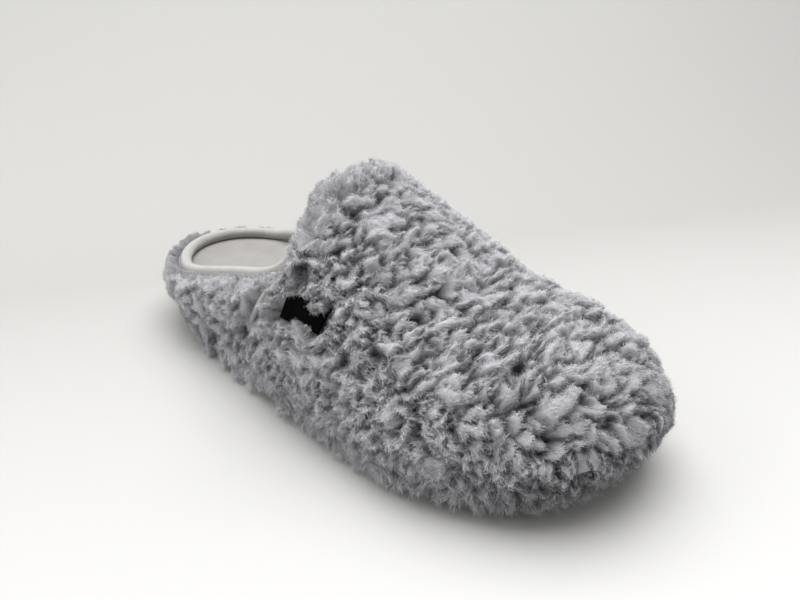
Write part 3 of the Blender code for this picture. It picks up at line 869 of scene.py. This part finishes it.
def make_fibres(fleece, material):
    """Fibres all over the clumps: combed with each clump, swirling a little, and bent over at the tip."""
    chance = np.random.RandomState(FIBRE_SEED)
    count = FIBRE_COUNT
    shell = fleece.shell
    triangles = halves(fleece.faces)
    area = areas(fleece.points, triangles)
    bare = fleece.bare[triangles].any(axis=1)
    weight = area * (0.35 + 0.65 * fleece.lump[triangles].mean(axis=1)) * ~bare
    chosen, share = pick(triangles, weight, count, chance)
    tables = (fleece.points, fleece.normals, shell.points)
    root, normal, backing = (shared(share, table[chosen]) for table in tables)
    normal = unit(normal)
    lump = np.einsum("nk,nk->n", share, fleece.raised[chosen])
    tables = (shell.row, fleece.hang, fleece.over, fleece.ahead, fleece.cell)
    row, hang, over, ahead, cell = (table[chosen[:, 0]] for table in tables)
    top = on_top(normal, row)
    radial = backing - fleece.seed[cell]
    radial = radial - normal * dot(radial, normal)
    spread = np.clip(np.linalg.norm(radial, axis=1) / fleece.spacing[cell], 0, 1)[:, None]
    radial = unit(radial)
    gather = spread * (0.16 - 0.70 * hang)[:, None]
    swirl = spread * fleece.swirl[cell][:, None]
    lean = fleece.nap[cell] * 0.95 + radial * gather + np.cross(normal, radial) * swirl
    lean = flattened(lean + chance.normal(0, 0.24, (count, 3)), normal)
    fuzz = chance.random_sample(count) < FUZZ_SHARE
    length = chance.uniform(*FIBRE_LENGTH, count) * (0.60 + 0.40 * lump) + 0.0020 * hang + 0.0004 * over
    length = length * np.where(fuzz, 1.25, 1.0)
    start = 0.88 + chance.normal(0, 0.16, count)
    end = np.where(fuzz, 0.70, 1.42) + chance.normal(0, 0.18, count)
    half = (length / 2)[:, None]
    middle = root + (normal * np.cos(start)[:, None] + lean * np.sin(start)[:, None]) * half
    tip = middle + (normal * np.cos(end)[:, None] + lean * np.sin(end)[:, None]) * half
    under = nearest(tip, fleece.points)[1]
    facing = fleece.normals[under]
    rise = dot(tip - fleece.points[under], facing)[:, 0] - chance.uniform(*TIP_LIFT, count)
    tip = tip - facing * (rise * ~fuzz * (1 - hang))[:, None]
    root = root - normal * FIBRE_SINK
    width = FIBRE_WIDTH * chance.uniform(0.7, 1.3, count) * np.where(fuzz, 0.55, 1.0)
    roll = chance.normal(0, FIBRE_ROLL, count)
    # Random tone per fibre, plus painted shade on the toe and the sides and painted light at the throat
    tone_and_painted_light = chance.normal(0, 0.11, count) - TOE_PAINTED_SHADE * step_up(row, 0.60, 0.95)
    tone_and_painted_light = tone_and_painted_light + THROAT_PAINTED_LIGHT * (1 - step_up(row, 0.30, 0.60)) - SIDE_PAINTED_SHADE * (1 - top)
    # Root and tip tones follow how raised the clump is under them: painted shade in the creases
    low = 0.03 + 0.57 * lump + tone_and_painted_light
    # The tip tone is painted lighter on the top, where more light falls, and is lighter towards each clump's
    # downstream end
    high = 0.06 + 0.76 * (fleece.raised[under] + lump) / 2 + 0.08 * top + 0.06 * ahead * lump + tone_and_painted_light
    along = np.stack([low, (low + high) / 2, (low + high) / 2, high], 1)
    strand = chance.random_sample(count)
    add_fibres("fleece_fibres", Fibres(root, middle, tip, normal, width, roll, strand, along), material, 5)


def make_edge_fibres(fleece, material):
    """Fibres on the pile's cut edge round the collar, standing out over the binding."""
    chance = np.random.RandomState(EDGE_SEED)
    count = EDGE_COUNT
    shell = fleece.shell
    foot, brow = shell.points[shell.collar()], fleece.points[shell.collar()]
    rising = unit(foot - shell.points[shell.collar(2)])
    tall = np.linalg.norm(brow - foot, axis=1)
    weight = np.clip(tall - EDGE_CLEAR, 0, None) * np.linalg.norm(np.roll(foot, -1, axis=0) - foot, axis=1)
    place = chance.choice(len(foot), count, p=weight / weight.sum())
    following = (place + 1) % len(foot)
    share = chance.random_sample(count)[:, None]
    tables = (foot, brow, rising)
    foot, brow, normal = (table[place] * (1 - share) + table[following] * share for table in tables)
    high = chance.uniform(0.3, 1.0, count)
    root = foot + (brow - foot) * high[:, None]
    normal = unit(normal)
    lean = unit(unit(brow - foot) + chance.normal(0, 0.45, (count, 3)))
    length = chance.uniform(*EDGE_LENGTH, count)[:, None]
    middle = root + unit(normal + 0.5 * lean) * length / 2
    tip = middle + unit(0.5 * normal + lean) * length / 2
    width = FIBRE_WIDTH * chance.uniform(0.7, 1.3, count)
    # Tone rises with height up the cut edge: painted shade lower in the pile
    low = 0.26 + 0.36 * high + chance.normal(0, 0.09, count)
    along = np.stack([low, low + 0.07, low + 0.07, low + 0.14], 1)
    strand = chance.random_sample(count)
    roll = chance.normal(0, FIBRE_ROLL, count)
    root = root - normal * FIBRE_SINK
    add_fibres("fleece_edge", Fibres(root, middle, tip, normal, width, roll, strand, along), material, 1)


class WallPlan:
    """Plan of the upper's inner face at any height, as stations from the heel to the toe on both sides."""

    def __init__(self, shell):
        skirt = shell.sole_edge()
        points = shell.points - shell.normals * WALL
        low = points[skirt] * np.array([1, 1, 0])
        quads = np.concatenate([shell.faces(), strip(skirt, len(points) + np.arange(len(skirt)))])
        self.edge = points[skirt]
        self.points = np.concatenate([points, low])
        pairs = np.concatenate([quads[:, [k - 1, k]] for k in range(4)])
        self.pairs = np.unique(np.sort(pairs, axis=1), axis=0)
        self.spread = (1 - np.cos(np.linspace(0, np.pi, STATIONS + 1))) / 2
        self.plans = np.array([self.cut(z) for z in LEVELS])

    def cut(self, z):
        """The outline at one height as its lateral and its medial side, both from the heel to the toe."""
        start, end = self.points[self.pairs[:, 0]], self.points[self.pairs[:, 1]]
        crossing = (start[:, 2] - z) * (end[:, 2] - z) < 0
        start, end = start[crossing], end[crossing]
        share = (z - start[:, 2]) / (end[:, 2] - start[:, 2])
        outline = (start + (end - start) * share[:, None])[:, :2]
        heel, toe = outline[np.argmin(outline[:, 0])], outline[np.argmax(outline[:, 0])]
        x = heel[0] + (toe[0] - heel[0]) * self.spread
        dividing = np.interp(outline[:, 0], [heel[0], toe[0]], [heel[1], toe[1]])
        sides = []
        for side in (outline[outline[:, 1] < dividing], outline[outline[:, 1] > dividing]):
            side = np.concatenate([[heel], side[np.argsort(side[:, 0])], [toe]])
            sides.append(np.column_stack([x, np.interp(x, side[:, 0], side[:, 1])]))
        return np.array(sides)

    def at(self, heights):
        """Both sides with a height of their own at each station."""
        place = np.interp(heights, LEVELS, np.arange(len(LEVELS)))
        low = np.minimum(place.astype(int), len(LEVELS) - 2)
        share = (place - low)[:, None]
        station = np.arange(len(heights))
        return self.plans[low, :, station].transpose(1, 0, 2) * (1 - share) \
            + self.plans[low + 1, :, station].transpose(1, 0, 2) * share

    def edge_height(self, sides):
        """Height of the wall's foot next to each place."""
        near = np.linalg.norm(self.edge[None, None, :, :2] - sides[:, :, None], axis=3)
        return self.edge[np.argmin(near, axis=2), 2]


def inset(sides, distance):
    """Both sides of an outline moved inwards in plan."""
    loop = np.concatenate([sides[0], sides[1][-2:0:-1]])
    ahead = np.roll(loop, -1, axis=0) - np.roll(loop, 1, axis=0)
    inward = unit(np.stack([-ahead[:, 1], ahead[:, 0]], -1))
    loop = loop + inward * distance
    last = sides.shape[1] - 1
    medial = np.concatenate([loop[:1], loop[:last - 1:-1]])
    return np.stack([loop[:last + 1], medial])


def between(sides, shares):
    """Grid of places across an outline, from its lateral to its medial side."""
    return sides[0][:, None] + (sides[1] - sides[0])[:, None] * np.asarray(shares)[None, :, None]


def from_edge(places, sides):
    """Distance in plan from each place of a grid to the outline's sides."""
    return nearest(places.reshape(-1, 2), np.concatenate([sides[0], sides[1]]))[0].reshape(places.shape[:2])


def rim_of(index):
    """Indices round a grid's outline: along its first column, then back along its last."""
    return np.concatenate([index[:, 0], index[-2:0:-1, -1]])


def weld(piece):
    """Joins the points that meet at the two ends of a grid."""
    work = bmesh.new()
    work.from_mesh(piece.data)
    bmesh.ops.remove_doubles(work, verts=work.verts, dist=1e-6)
    bmesh.ops.dissolve_degenerate(work, edges=work.edges, dist=1e-7)
    bmesh.ops.recalc_face_normals(work, faces=work.faces)
    work.to_mesh(piece.data)
    work.free()
    piece.data.shade_smooth()
    return piece


def slab(name, low, rings, high, material):
    """A closed piece from a grid below, loops up its side, and a grid on top."""
    blocks = [low.reshape(-1, 3)] + rings + [high.reshape(-1, 3)]
    starts = np.cumsum([0] + [len(block) for block in blocks])
    bottom, top = index_grid(*low.shape[:2]), index_grid(*high.shape[:2], starts[-2])
    loops = [np.arange(start, end) for start, end in zip(starts[1:-2], starts[2:-1])]
    loops = [rim_of(bottom)] + loops + [rim_of(top)]
    quads = [grid_faces(bottom), grid_faces(top)[:, ::-1]]
    quads += [strip(first, second) for first, second in zip(loops, loops[1:])]
    return weld(add_piece(name, np.concatenate(blocks), [np.concatenate(quads)], material))


def ring(sides, heights):
    """A closed loop round an outline, at a height for each of its places."""
    heights = np.broadcast_to(heights, sides.shape[:2])
    places = at_height(sides, heights)
    return np.concatenate([places[0], places[1][-2:0:-1]])


def tread_height(x):
    """Underside of the sole: flat at heel and forefoot, lifted at the arch and the toe."""
    share = np.clip((x - ARCH_RANGE[0]) / (ARCH_RANGE[1] - ARCH_RANGE[0]), 0, 1)
    return ARCH_RISE * np.sin(np.pi * share) ** 2 + toe_spring(x)


def sole_top(x):
    share = np.clip((x - RAMP[0]) / (RAMP[1] - RAMP[0]), 0, 1)
    return SOLE_TOP_HEEL + (SOLE_TOP_BALL - SOLE_TOP_HEEL) * ease(share) + toe_spring(x)


def tread_groove(places, border):
    """Share of a groove's depth: wavy bars across the sole, inside a plain border."""
    wave = places[..., 0] + TREAD_WAVE[0] * np.sin(places[..., 1] * 2 * np.pi / TREAD_WAVE[1])
    bar = np.cos(wave * 2 * np.pi / TREAD_PITCH)
    return step_up(bar, 0.25, 0.60) * step_up(border, TREAD_BORDER - 0.001, TREAD_BORDER)


def make_sole(plan, material):
    """Rubber sole: a bevelled flange under the wall, a grooved underside, and a block inside the wall."""
    foot = plan.plans[0]
    flange = inset(foot, GAP - WALL)
    tread = inset(flange, TREAD_BEVEL)
    places = between(tread, np.linspace(0, 1, TREAD_COLUMNS + 1))
    border = from_edge(places, tread)
    low = at_height(places, tread_height(places[..., 0]) + TREAD_DEPTH * tread_groove(places, border))
    shelf = plan.edge_height(foot) - GAP
    x = foot[0][:, 0]
    block_foot = inset(plan.at(shelf[0]), SEAT_GAP)
    block_top = inset(plan.at(sole_top(x)), SEAT_GAP)
    under = tread_height(flange[..., 0])
    waist = inset(flange, WAIST)
    rings = [
        ring(waist, under + TREAD_ROUND),
        ring(flange, under + TREAD_BEVEL),
        *(ring(outline, under + (shelf - under) * share)
          for outline, share in zip((flange, waist, flange), WAIST_SHARES)),
        ring(flange, shelf),
        ring(block_foot, shelf),
    ]
    top = between(block_top, (0, 0.5, 1))
    high = at_height(top, sole_top(top[..., 0]))
    piece = slab("sole", low, rings, high, material)
    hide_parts("outsole")


def make_insole(plan, material):
    """Padded footbed with a rolled edge, a shallow dish and a soft, slightly uneven face."""
    x = plan.plans[0][0][:, 0]
    under = sole_top(x) + GAP
    top = under + INSOLE_THICKNESS
    foot = inset(plan.at(under), SEAT_GAP)
    side = inset(plan.at(top - INSOLE_ROUND), SEAT_GAP)
    shares = np.linspace(0, 1, INSOLE_COLUMNS + 1)
    low_places = between(foot, shares)
    low = at_height(low_places, sole_top(low_places[..., 0]) + GAP)
    rings = [ring(side, top - INSOLE_ROUND)]
    for angle in INSOLE_ANGLES:
        lip = inset(side, INSOLE_ROUND * (1 - np.cos(angle)))
        rings.append(ring(lip, top - INSOLE_ROUND * (1 - np.sin(angle))))
    face = inset(side, INSOLE_ROUND)
    places = between(face, shares)
    edge = from_edge(places, face)
    height = sole_top(places[..., 0]) + GAP + INSOLE_THICKNESS
    height -= INSOLE_DISH * step_up(edge, 0.0, DISH_REACH)
    spots = at_height(places, np.zeros(places.shape[:2]))
    height += INSOLE_UNEVEN * ripple(spots, UNEVEN_SCALE, UNEVEN_SEED) * step_up(edge, 0.0, UNEVEN_REACH)
    high = at_height(places, height)
    piece = slab("insole_pad", low, rings, high, material)
    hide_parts("insole")


def make_lining(shell, material):
    """Fabric on the wall's inner face, as thick as the wall less the fleece's backing."""
    count = len(shell.points)
    inside = shell.points - shell.normals * WALL
    outside = shell.points - shell.normals * LINING_CLEAR
    faces = shell.faces()
    collar, sole = (strip(loop, loop + count) for loop in (shell.collar(), shell.sole_edge()))
    quads = np.concatenate([faces, faces[:, ::-1] + count, collar, sole[:, ::-1]])
    add_piece("lining", np.concatenate([outside, inside]), [quads], material)


def smoothed(loop):
    for _ in range(COLLAR_SMOOTHING):
        loop = unit(np.roll(loop, 1, axis=0) + loop * 2 + np.roll(loop, -1, axis=0))
    return loop


def collar_frame(shell):
    """Middle line of the collar binding, with its directions: outwards, up from the wall, and along."""
    edge = shell.points[shell.collar()]
    along = unit(np.roll(edge, -1, axis=0) - np.roll(edge, 1, axis=0))
    outward = flattened(smoothed(shell.normals[shell.collar()]), along)
    rising = flattened(smoothed(unit(edge - shell.points[shell.collar(2)])), along)
    rising = flattened(rising, outward)
    centre = edge - outward * WALL / 2 + rising * (BINDING_HALF_HEIGHT + GAP)
    return centre, outward, rising, along


def tube_quads(rows, sides, closed=False):
    """Quads round a tube of rings, with the last ring joined to the first one if it is closed."""
    level = np.arange(rows if closed else rows - 1)[:, None] * sides
    ahead = (level + sides) % (rows * sides)
    side = np.arange(sides)[None]
    following = (side + 1) % sides
    return np.stack([level + side, level + following, ahead + following, ahead + side], -1).reshape(-1, 4)


def tube_caps(rows, sides):
    return np.stack([np.arange(sides)[::-1], np.arange(sides) + (rows - 1) * sides])


def binding_section():
    """Section of the folded tape: over the top, down the outer leg, and back round the wall."""
    angle = np.linspace(np.pi, 0, 13)
    over = np.column_stack([BINDING_HALF_WIDTH * np.cos(angle), BINDING_HALF_HEIGHT * np.sin(angle)])
    leg = -BINDING_HALF_HEIGHT - BINDING_LEG
    hem = -BINDING_HALF_HEIGHT - 0.0010
    inner_wall = -WALL / 2 - 0.0001
    outer_wall = WALL / 2 + 0.0006
    under = -BINDING_HALF_HEIGHT - 0.0001
    outer_leg = [(0.0028, -0.0008), (0.00275, -0.0020), (0.0026, hem + 0.0004), (0.0024, hem)]
    notch = [(outer_wall, hem + 0.0002), (outer_wall, under), (inner_wall, under), (inner_wall, leg + 0.0002)]
    inner_leg = [(-0.0018, leg), (-0.0021, leg + 0.0004), (-0.0025, -0.0020), (-0.0027, -0.0010)]
    return np.concatenate([over, outer_leg, notch, inner_leg])


def make_binding(shell, material):
    """Folded tape right round the collar, drawn in a little by its stitches."""
    centre, outward, rising, _ = collar_frame(shell)
    section = binding_section()
    run = np.cumsum(np.linalg.norm(np.roll(centre, -1, axis=0) - centre, axis=1))
    pucker = 1 + 0.025 * ripple(centre, 0.012, 4) + 0.012 * np.cos(run * 2 * np.pi / STITCH_PITCH)
    points = centre[:, None] + outward[:, None] * (section[:, 0] * pucker[:, None])[..., None] \
        + rising[:, None] * section[:, 1][None, :, None]
    quads = tube_quads(len(centre), len(section), closed=True)
    piece = weld(add_piece("collar_tape", points.reshape(-1, 3), [quads], material))
    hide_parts("collar_binding")


def make_stitches(name, path, outward, along, material):
    """Thread laid in short stitches along a closed path, as joined rounded bars sunk at both ends."""
    run = run_along(path)
    places = np.arange(STITCH_PITCH / 2, run[-1] - STITCH_LENGTH, STITCH_PITCH)
    shares = np.linspace(-1, 1, 5)
    angle = 2 * np.pi * np.arange(STITCH_SIDES) / STITCH_SIDES
    stations = places[:, None] + shares * STITCH_LENGTH / 2
    spot, out, tangent = (place_on(table, run, stations) for table in (path, outward, along))
    out, tangent = unit(out), unit(tangent)
    across = np.cross(tangent, out)
    thick = STITCH_RADIUS * np.sqrt(np.clip(1.02 - shares ** 2, 0, None))
    spot = spot + out * (STITCH_RADIUS * (0.6 - 1.2 * shares ** 2))[None, :, None]
    round_about = out[:, :, None] * np.cos(angle)[:, None] + across[:, :, None] * np.sin(angle)[:, None]
    points = spot[:, :, None] + round_about * thick[None, :, None, None]
    size = (len(shares), STITCH_SIDES)
    starts = (np.arange(len(places)) * size[0] * size[1])[:, None, None]
    quads = (tube_quads(*size)[None] + starts).reshape(-1, 4)
    caps = (tube_caps(*size)[None] + starts).reshape(-1, STITCH_SIDES)
    add_piece(name, points.reshape(-1, 3), [quads, caps], material)


def make_seam(side, name, material):
    """Bound edge of the vamp's back, lying on the heel wrap below the collar and sinking into the fleece."""
    path, normal = seam_path(side)
    share = np.linspace(0, 1, len(path))
    along = unit(np.gradient(path, axis=0))
    across = unit(np.cross(normal, along))
    raised = SEAM_LIFT[0] if side < 0 else SEAM_LIFT[1]
    lift = raised * (1 - 0.55 * share ** 2) * step_up(share, -0.04, 0.16)
    middle = path + normal * lift[:, None]
    size = np.sqrt(np.clip(1 - np.abs(2 * share - 1) ** 10, 0.02, None))
    angle = 2 * np.pi * np.arange(SEAM_SIDES) / SEAM_SIDES
    wide = across[:, None] * (SEAM_HALF_WIDTH * np.cos(angle))[None, :, None]
    high = normal[:, None] * (SEAM_HALF_HEIGHT * np.sin(angle))[None, :, None]
    points = middle[:, None] + (wide + high) * size[:, None, None]
    size = points.shape[:2]
    weld(add_piece(name, points.reshape(-1, 3), [tube_quads(*size), tube_caps(*size)], material))


def make_label(material):
    """Blank woven tab that follows the vamp's side, a little pillowed and lifted at its edges."""
    skin, normal, along, up = label_face(*LABEL_STEPS)
    wave = LABEL_WAVE * np.sin(along * 5.0 + 1.0) * np.cos(up * 3.0)
    middle = skin + normal * (LABEL_BED + GAP + LABEL_THICKNESS / 2 + wave)[..., None]
    long, tall = LABEL_MILLIMETRES
    edge = np.minimum(np.minimum(along, 1 - along) * long, np.minimum(up, 1 - up) * tall)
    half = normal * (LABEL_THICKNESS / 2 * np.sqrt(step_up(edge, -0.4, 0.9)))[..., None]
    points = np.concatenate([(middle + half).reshape(-1, 3), (middle - half).reshape(-1, 3)])
    count = along.size
    index = index_grid(*along.shape)
    rim = np.concatenate([index[:, 0], index[-1, 1:], index[-2::-1, -1], index[0, -2:0:-1]])
    faces = grid_faces(index)
    quads = np.concatenate([faces, faces[:, ::-1] + count, strip(rim, rim + count)])
    piece = weld(add_piece("side_tab", points, [quads], material))
    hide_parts("side_label")


def fabric_finish(name, colour, deep, roughness, grain, bump, weave=0.0, sheen=0.3, gloss=0.2):
    """Soft cloth: cloudy tint between two colours, fine grain in bump, and a crossed weave if asked."""
    finish = Finish(name, Roughness=roughness, Specular_IOR_Level=gloss)
    finish.shader.inputs["Sheen Weight"].default_value = sheen
    finish.shader.inputs["Sheen Roughness"].default_value = 0.5
    place = finish.node("ShaderNodeTexCoord").outputs["Object"]
    cloud = finish.noise(place, Scale=120.0, Detail=4.0, Roughness=0.6)
    grains = finish.noise(place, Scale=grain, Detail=3.0, Roughness=0.7)
    tint = finish.math("MULTIPLY_ADD", grains, 0.6, finish.math("MULTIPLY", cloud, 0.5))
    finish.feed("Base Color", finish.ramp(tint, ((0.30, deep), (0.75, colour))))
    height = grains
    if weave:
        bands = []
        for direction in ("X", "Z"):
            wave = finish.node("ShaderNodeTexWave", Scale=weave, Distortion=0.6, bands_direction=direction)
            finish.link(place, wave.inputs["Vector"])
            bands.append(wave.outputs["Fac"])
        height = finish.math("ADD", finish.math("MULTIPLY", *bands), grains)
    finish.relief(height, bump, 0.0004)
    return finish.material


def rubber_finish():
    """Dark moulded rubber, scuffed paler in places."""
    finish = Finish("sole_rubber", Specular_IOR_Level=0.4)
    place = finish.node("ShaderNodeTexCoord").outputs["Object"]
    scuff = finish.noise(place, Scale=60.0, Detail=6.0, Roughness=0.65)
    colours = ((0.35, (0.030, 0.030, 0.032)), (0.75, (0.070, 0.069, 0.068)))
    finish.feed("Base Color", finish.ramp(scuff, colours))
    finish.feed("Roughness", finish.ramp(scuff, ((0.3, (0.55, 0.55, 0.55)), (0.8, (0.80, 0.80, 0.80)))))
    finish.relief(finish.noise(place, Scale=1800.0, Detail=2.0), 0.25, 0.0003)
    return finish.material


def paper_finish(fade):
    """Matt paper with painted shade, darker the further it runs behind the slipper."""
    finish = Finish("studio_paper", Roughness=0.9)
    place = finish.node("ShaderNodeNewGeometry")
    depth = finish.node("ShaderNodeVectorMath", operation="DOT_PRODUCT")
    finish.link(place.outputs["Position"], depth.inputs[0])
    depth.inputs[1].default_value = (*fade, 0.0)
    share = finish.node("ShaderNodeMapRange")
    share.inputs["From Min"].default_value, share.inputs["From Max"].default_value = PAPER_SHADE_FADE
    finish.link(depth.outputs["Value"], share.inputs["Value"])
    finish.feed("Base Color", finish.ramp(share.outputs["Result"], ((0.0, PAPER_LIT_FRONT), (1.0, PAPER_SHADED_WALL))))
    return finish.material


def make_stage():
    """Pale floor that sweeps up into a backdrop."""
    forward = np.array([-np.sin(np.radians(CAMERA_AZIMUTH)), np.cos(np.radians(CAMERA_AZIMUTH))])
    sideways = np.array([forward[1], -forward[0]])
    across = np.linspace(-3, 3, 3)
    run = [(-2.0, 0.0), (SWEEP_START, 0.0)]
    for angle in np.linspace(0, np.pi / 2, 25)[1:]:
        run.append((SWEEP_START + SWEEP_RADIUS * np.sin(angle), SWEEP_RADIUS * (1 - np.cos(angle))))
    run.append((SWEEP_START + SWEEP_RADIUS, 2.2))
    points = [(*(forward * depth + sideways * place), height) for depth, height in run for place in across]
    mesh = bpy.data.meshes.new("floor")
    mesh.from_pydata(points, [], grid_faces(index_grid(len(run), len(across))).tolist())
    mesh.shade_smooth()
    mesh.materials.append(paper_finish(forward - PAPER_SHADE_SLANT * sideways))
    floor = bpy.data.objects.new("floor", mesh)
    bpy.context.scene.collection.objects.link(floor)


def add_light(name, place, target, size, power):
    light = bpy.data.lights.new(name, "AREA")
    light.shape = "RECTANGLE"
    light.size, light.size_y = size
    light.energy = power
    lamp = bpy.data.objects.new(name, light)
    lamp.location = place
    aim = np.array(target) - np.array(place)
    back = -unit(aim)
    right = unit(np.cross((0.0, 0.0, 1.0), back) + np.array([1e-6, 0, 0]))
    up = np.cross(back, right)
    turn = Matrix((right, up, back)).transposed()
    lamp.rotation_euler = turn.to_euler()
    bpy.context.scene.collection.objects.link(lamp)


def light_studio():
    world = bpy.data.worlds.new("studio")
    world.use_nodes = True
    sky = world.node_tree.nodes["Background"]
    sky.inputs["Color"].default_value = WORLD_TINT
    sky.inputs["Strength"].default_value = WORLD_STRENGTH
    bpy.context.scene.world = world
    for light in LIGHTS:
        add_light(*light)
    bpy.context.scene.view_settings.view_transform = "Standard"


def add_camera():
    azimuth, elevation, roll = np.radians((CAMERA_AZIMUTH, CAMERA_ELEVATION, CAMERA_ROLL))
    right = np.array([np.cos(azimuth), np.sin(azimuth), 0.0])
    level = np.cos(elevation)
    back = np.array([np.sin(azimuth) * level, -np.cos(azimuth) * level, np.sin(elevation)])
    up = np.cross(back, right)
    turned_right = right * np.cos(roll) + up * np.sin(roll)
    turned_up = up * np.cos(roll) - right * np.sin(roll)
    camera = bpy.data.cameras.new("photo_camera")
    camera.lens = CAMERA_LENS
    camera.sensor_width = SENSOR_WIDTH
    camera.clip_start = 0.005
    holder = bpy.data.objects.new("photo_camera", camera)
    holder.matrix_world = Matrix((turned_right, turned_up, back)).transposed().to_4x4()
    holder.location = np.array(CAMERA_TARGET) + back * CAMERA_DISTANCE
    bpy.context.scene.collection.objects.link(holder)
    bpy.context.scene.camera = holder


def main():
    add_camera()
    make_stage()
    light_studio()
    shell = Shell(ROWS, COLUMNS, CORNER, WRAP_STEPS)
    plan = WallPlan(shell)
    fleece = fleece_finish()
    clumps = Fleece(Shell(FINE_ROWS, FINE_COLUMNS, FINE_CORNER, FINE_STEPS))
    make_pile(clumps, fleece)
    make_fibres(clumps, fleece)
    make_edge_fibres(clumps, fleece)
    tape = fabric_finish("binding_jersey", (0.50, 0.488, 0.470), (0.39, 0.380, 0.366),
                         roughness=0.95, grain=1500.0, bump=0.5, weave=1400.0, gloss=0.05)
    cloth = fabric_finish("lining_cloth", (0.52, 0.505, 0.485), (0.40, 0.39, 0.375),
                          roughness=0.9, grain=1300.0, bump=0.4)
    felt = fabric_finish("insole_felt", (0.315, 0.303, 0.290), (0.25, 0.24, 0.23),
                         roughness=0.95, grain=1100.0, bump=0.5)
    woven = fabric_finish("label_weave", (0.0050, 0.0050, 0.0055), (0.0015, 0.0015, 0.0018),
                          roughness=0.9, grain=2200.0, bump=0.5, weave=1100.0, sheen=0.0, gloss=0.03)
    edging = fabric_finish("seam_cloth", (0.42, 0.415, 0.412), (0.33, 0.326, 0.324),
                           roughness=0.95, grain=1300.0, bump=0.5)
    make_lining(Shell(ROWS // 2, COLUMNS // 2, CORNER // 2, WRAP_STEPS // 2), cloth)
    make_binding(shell, tape)
    centre, outward, rising, along = collar_frame(shell)
    line = centre - outward * STITCH_INWARD - rising * STITCH_DROP
    make_stitches("collar_stitches", line, -outward, along, tape)
    make_seam(-1.0, "seam_tape_lateral", edging)
    make_seam(1.0, "seam_tape_medial", edging)
    make_insole(plan, felt)
    make_sole(plan, rubber_finish())
    make_label(woven)


main()
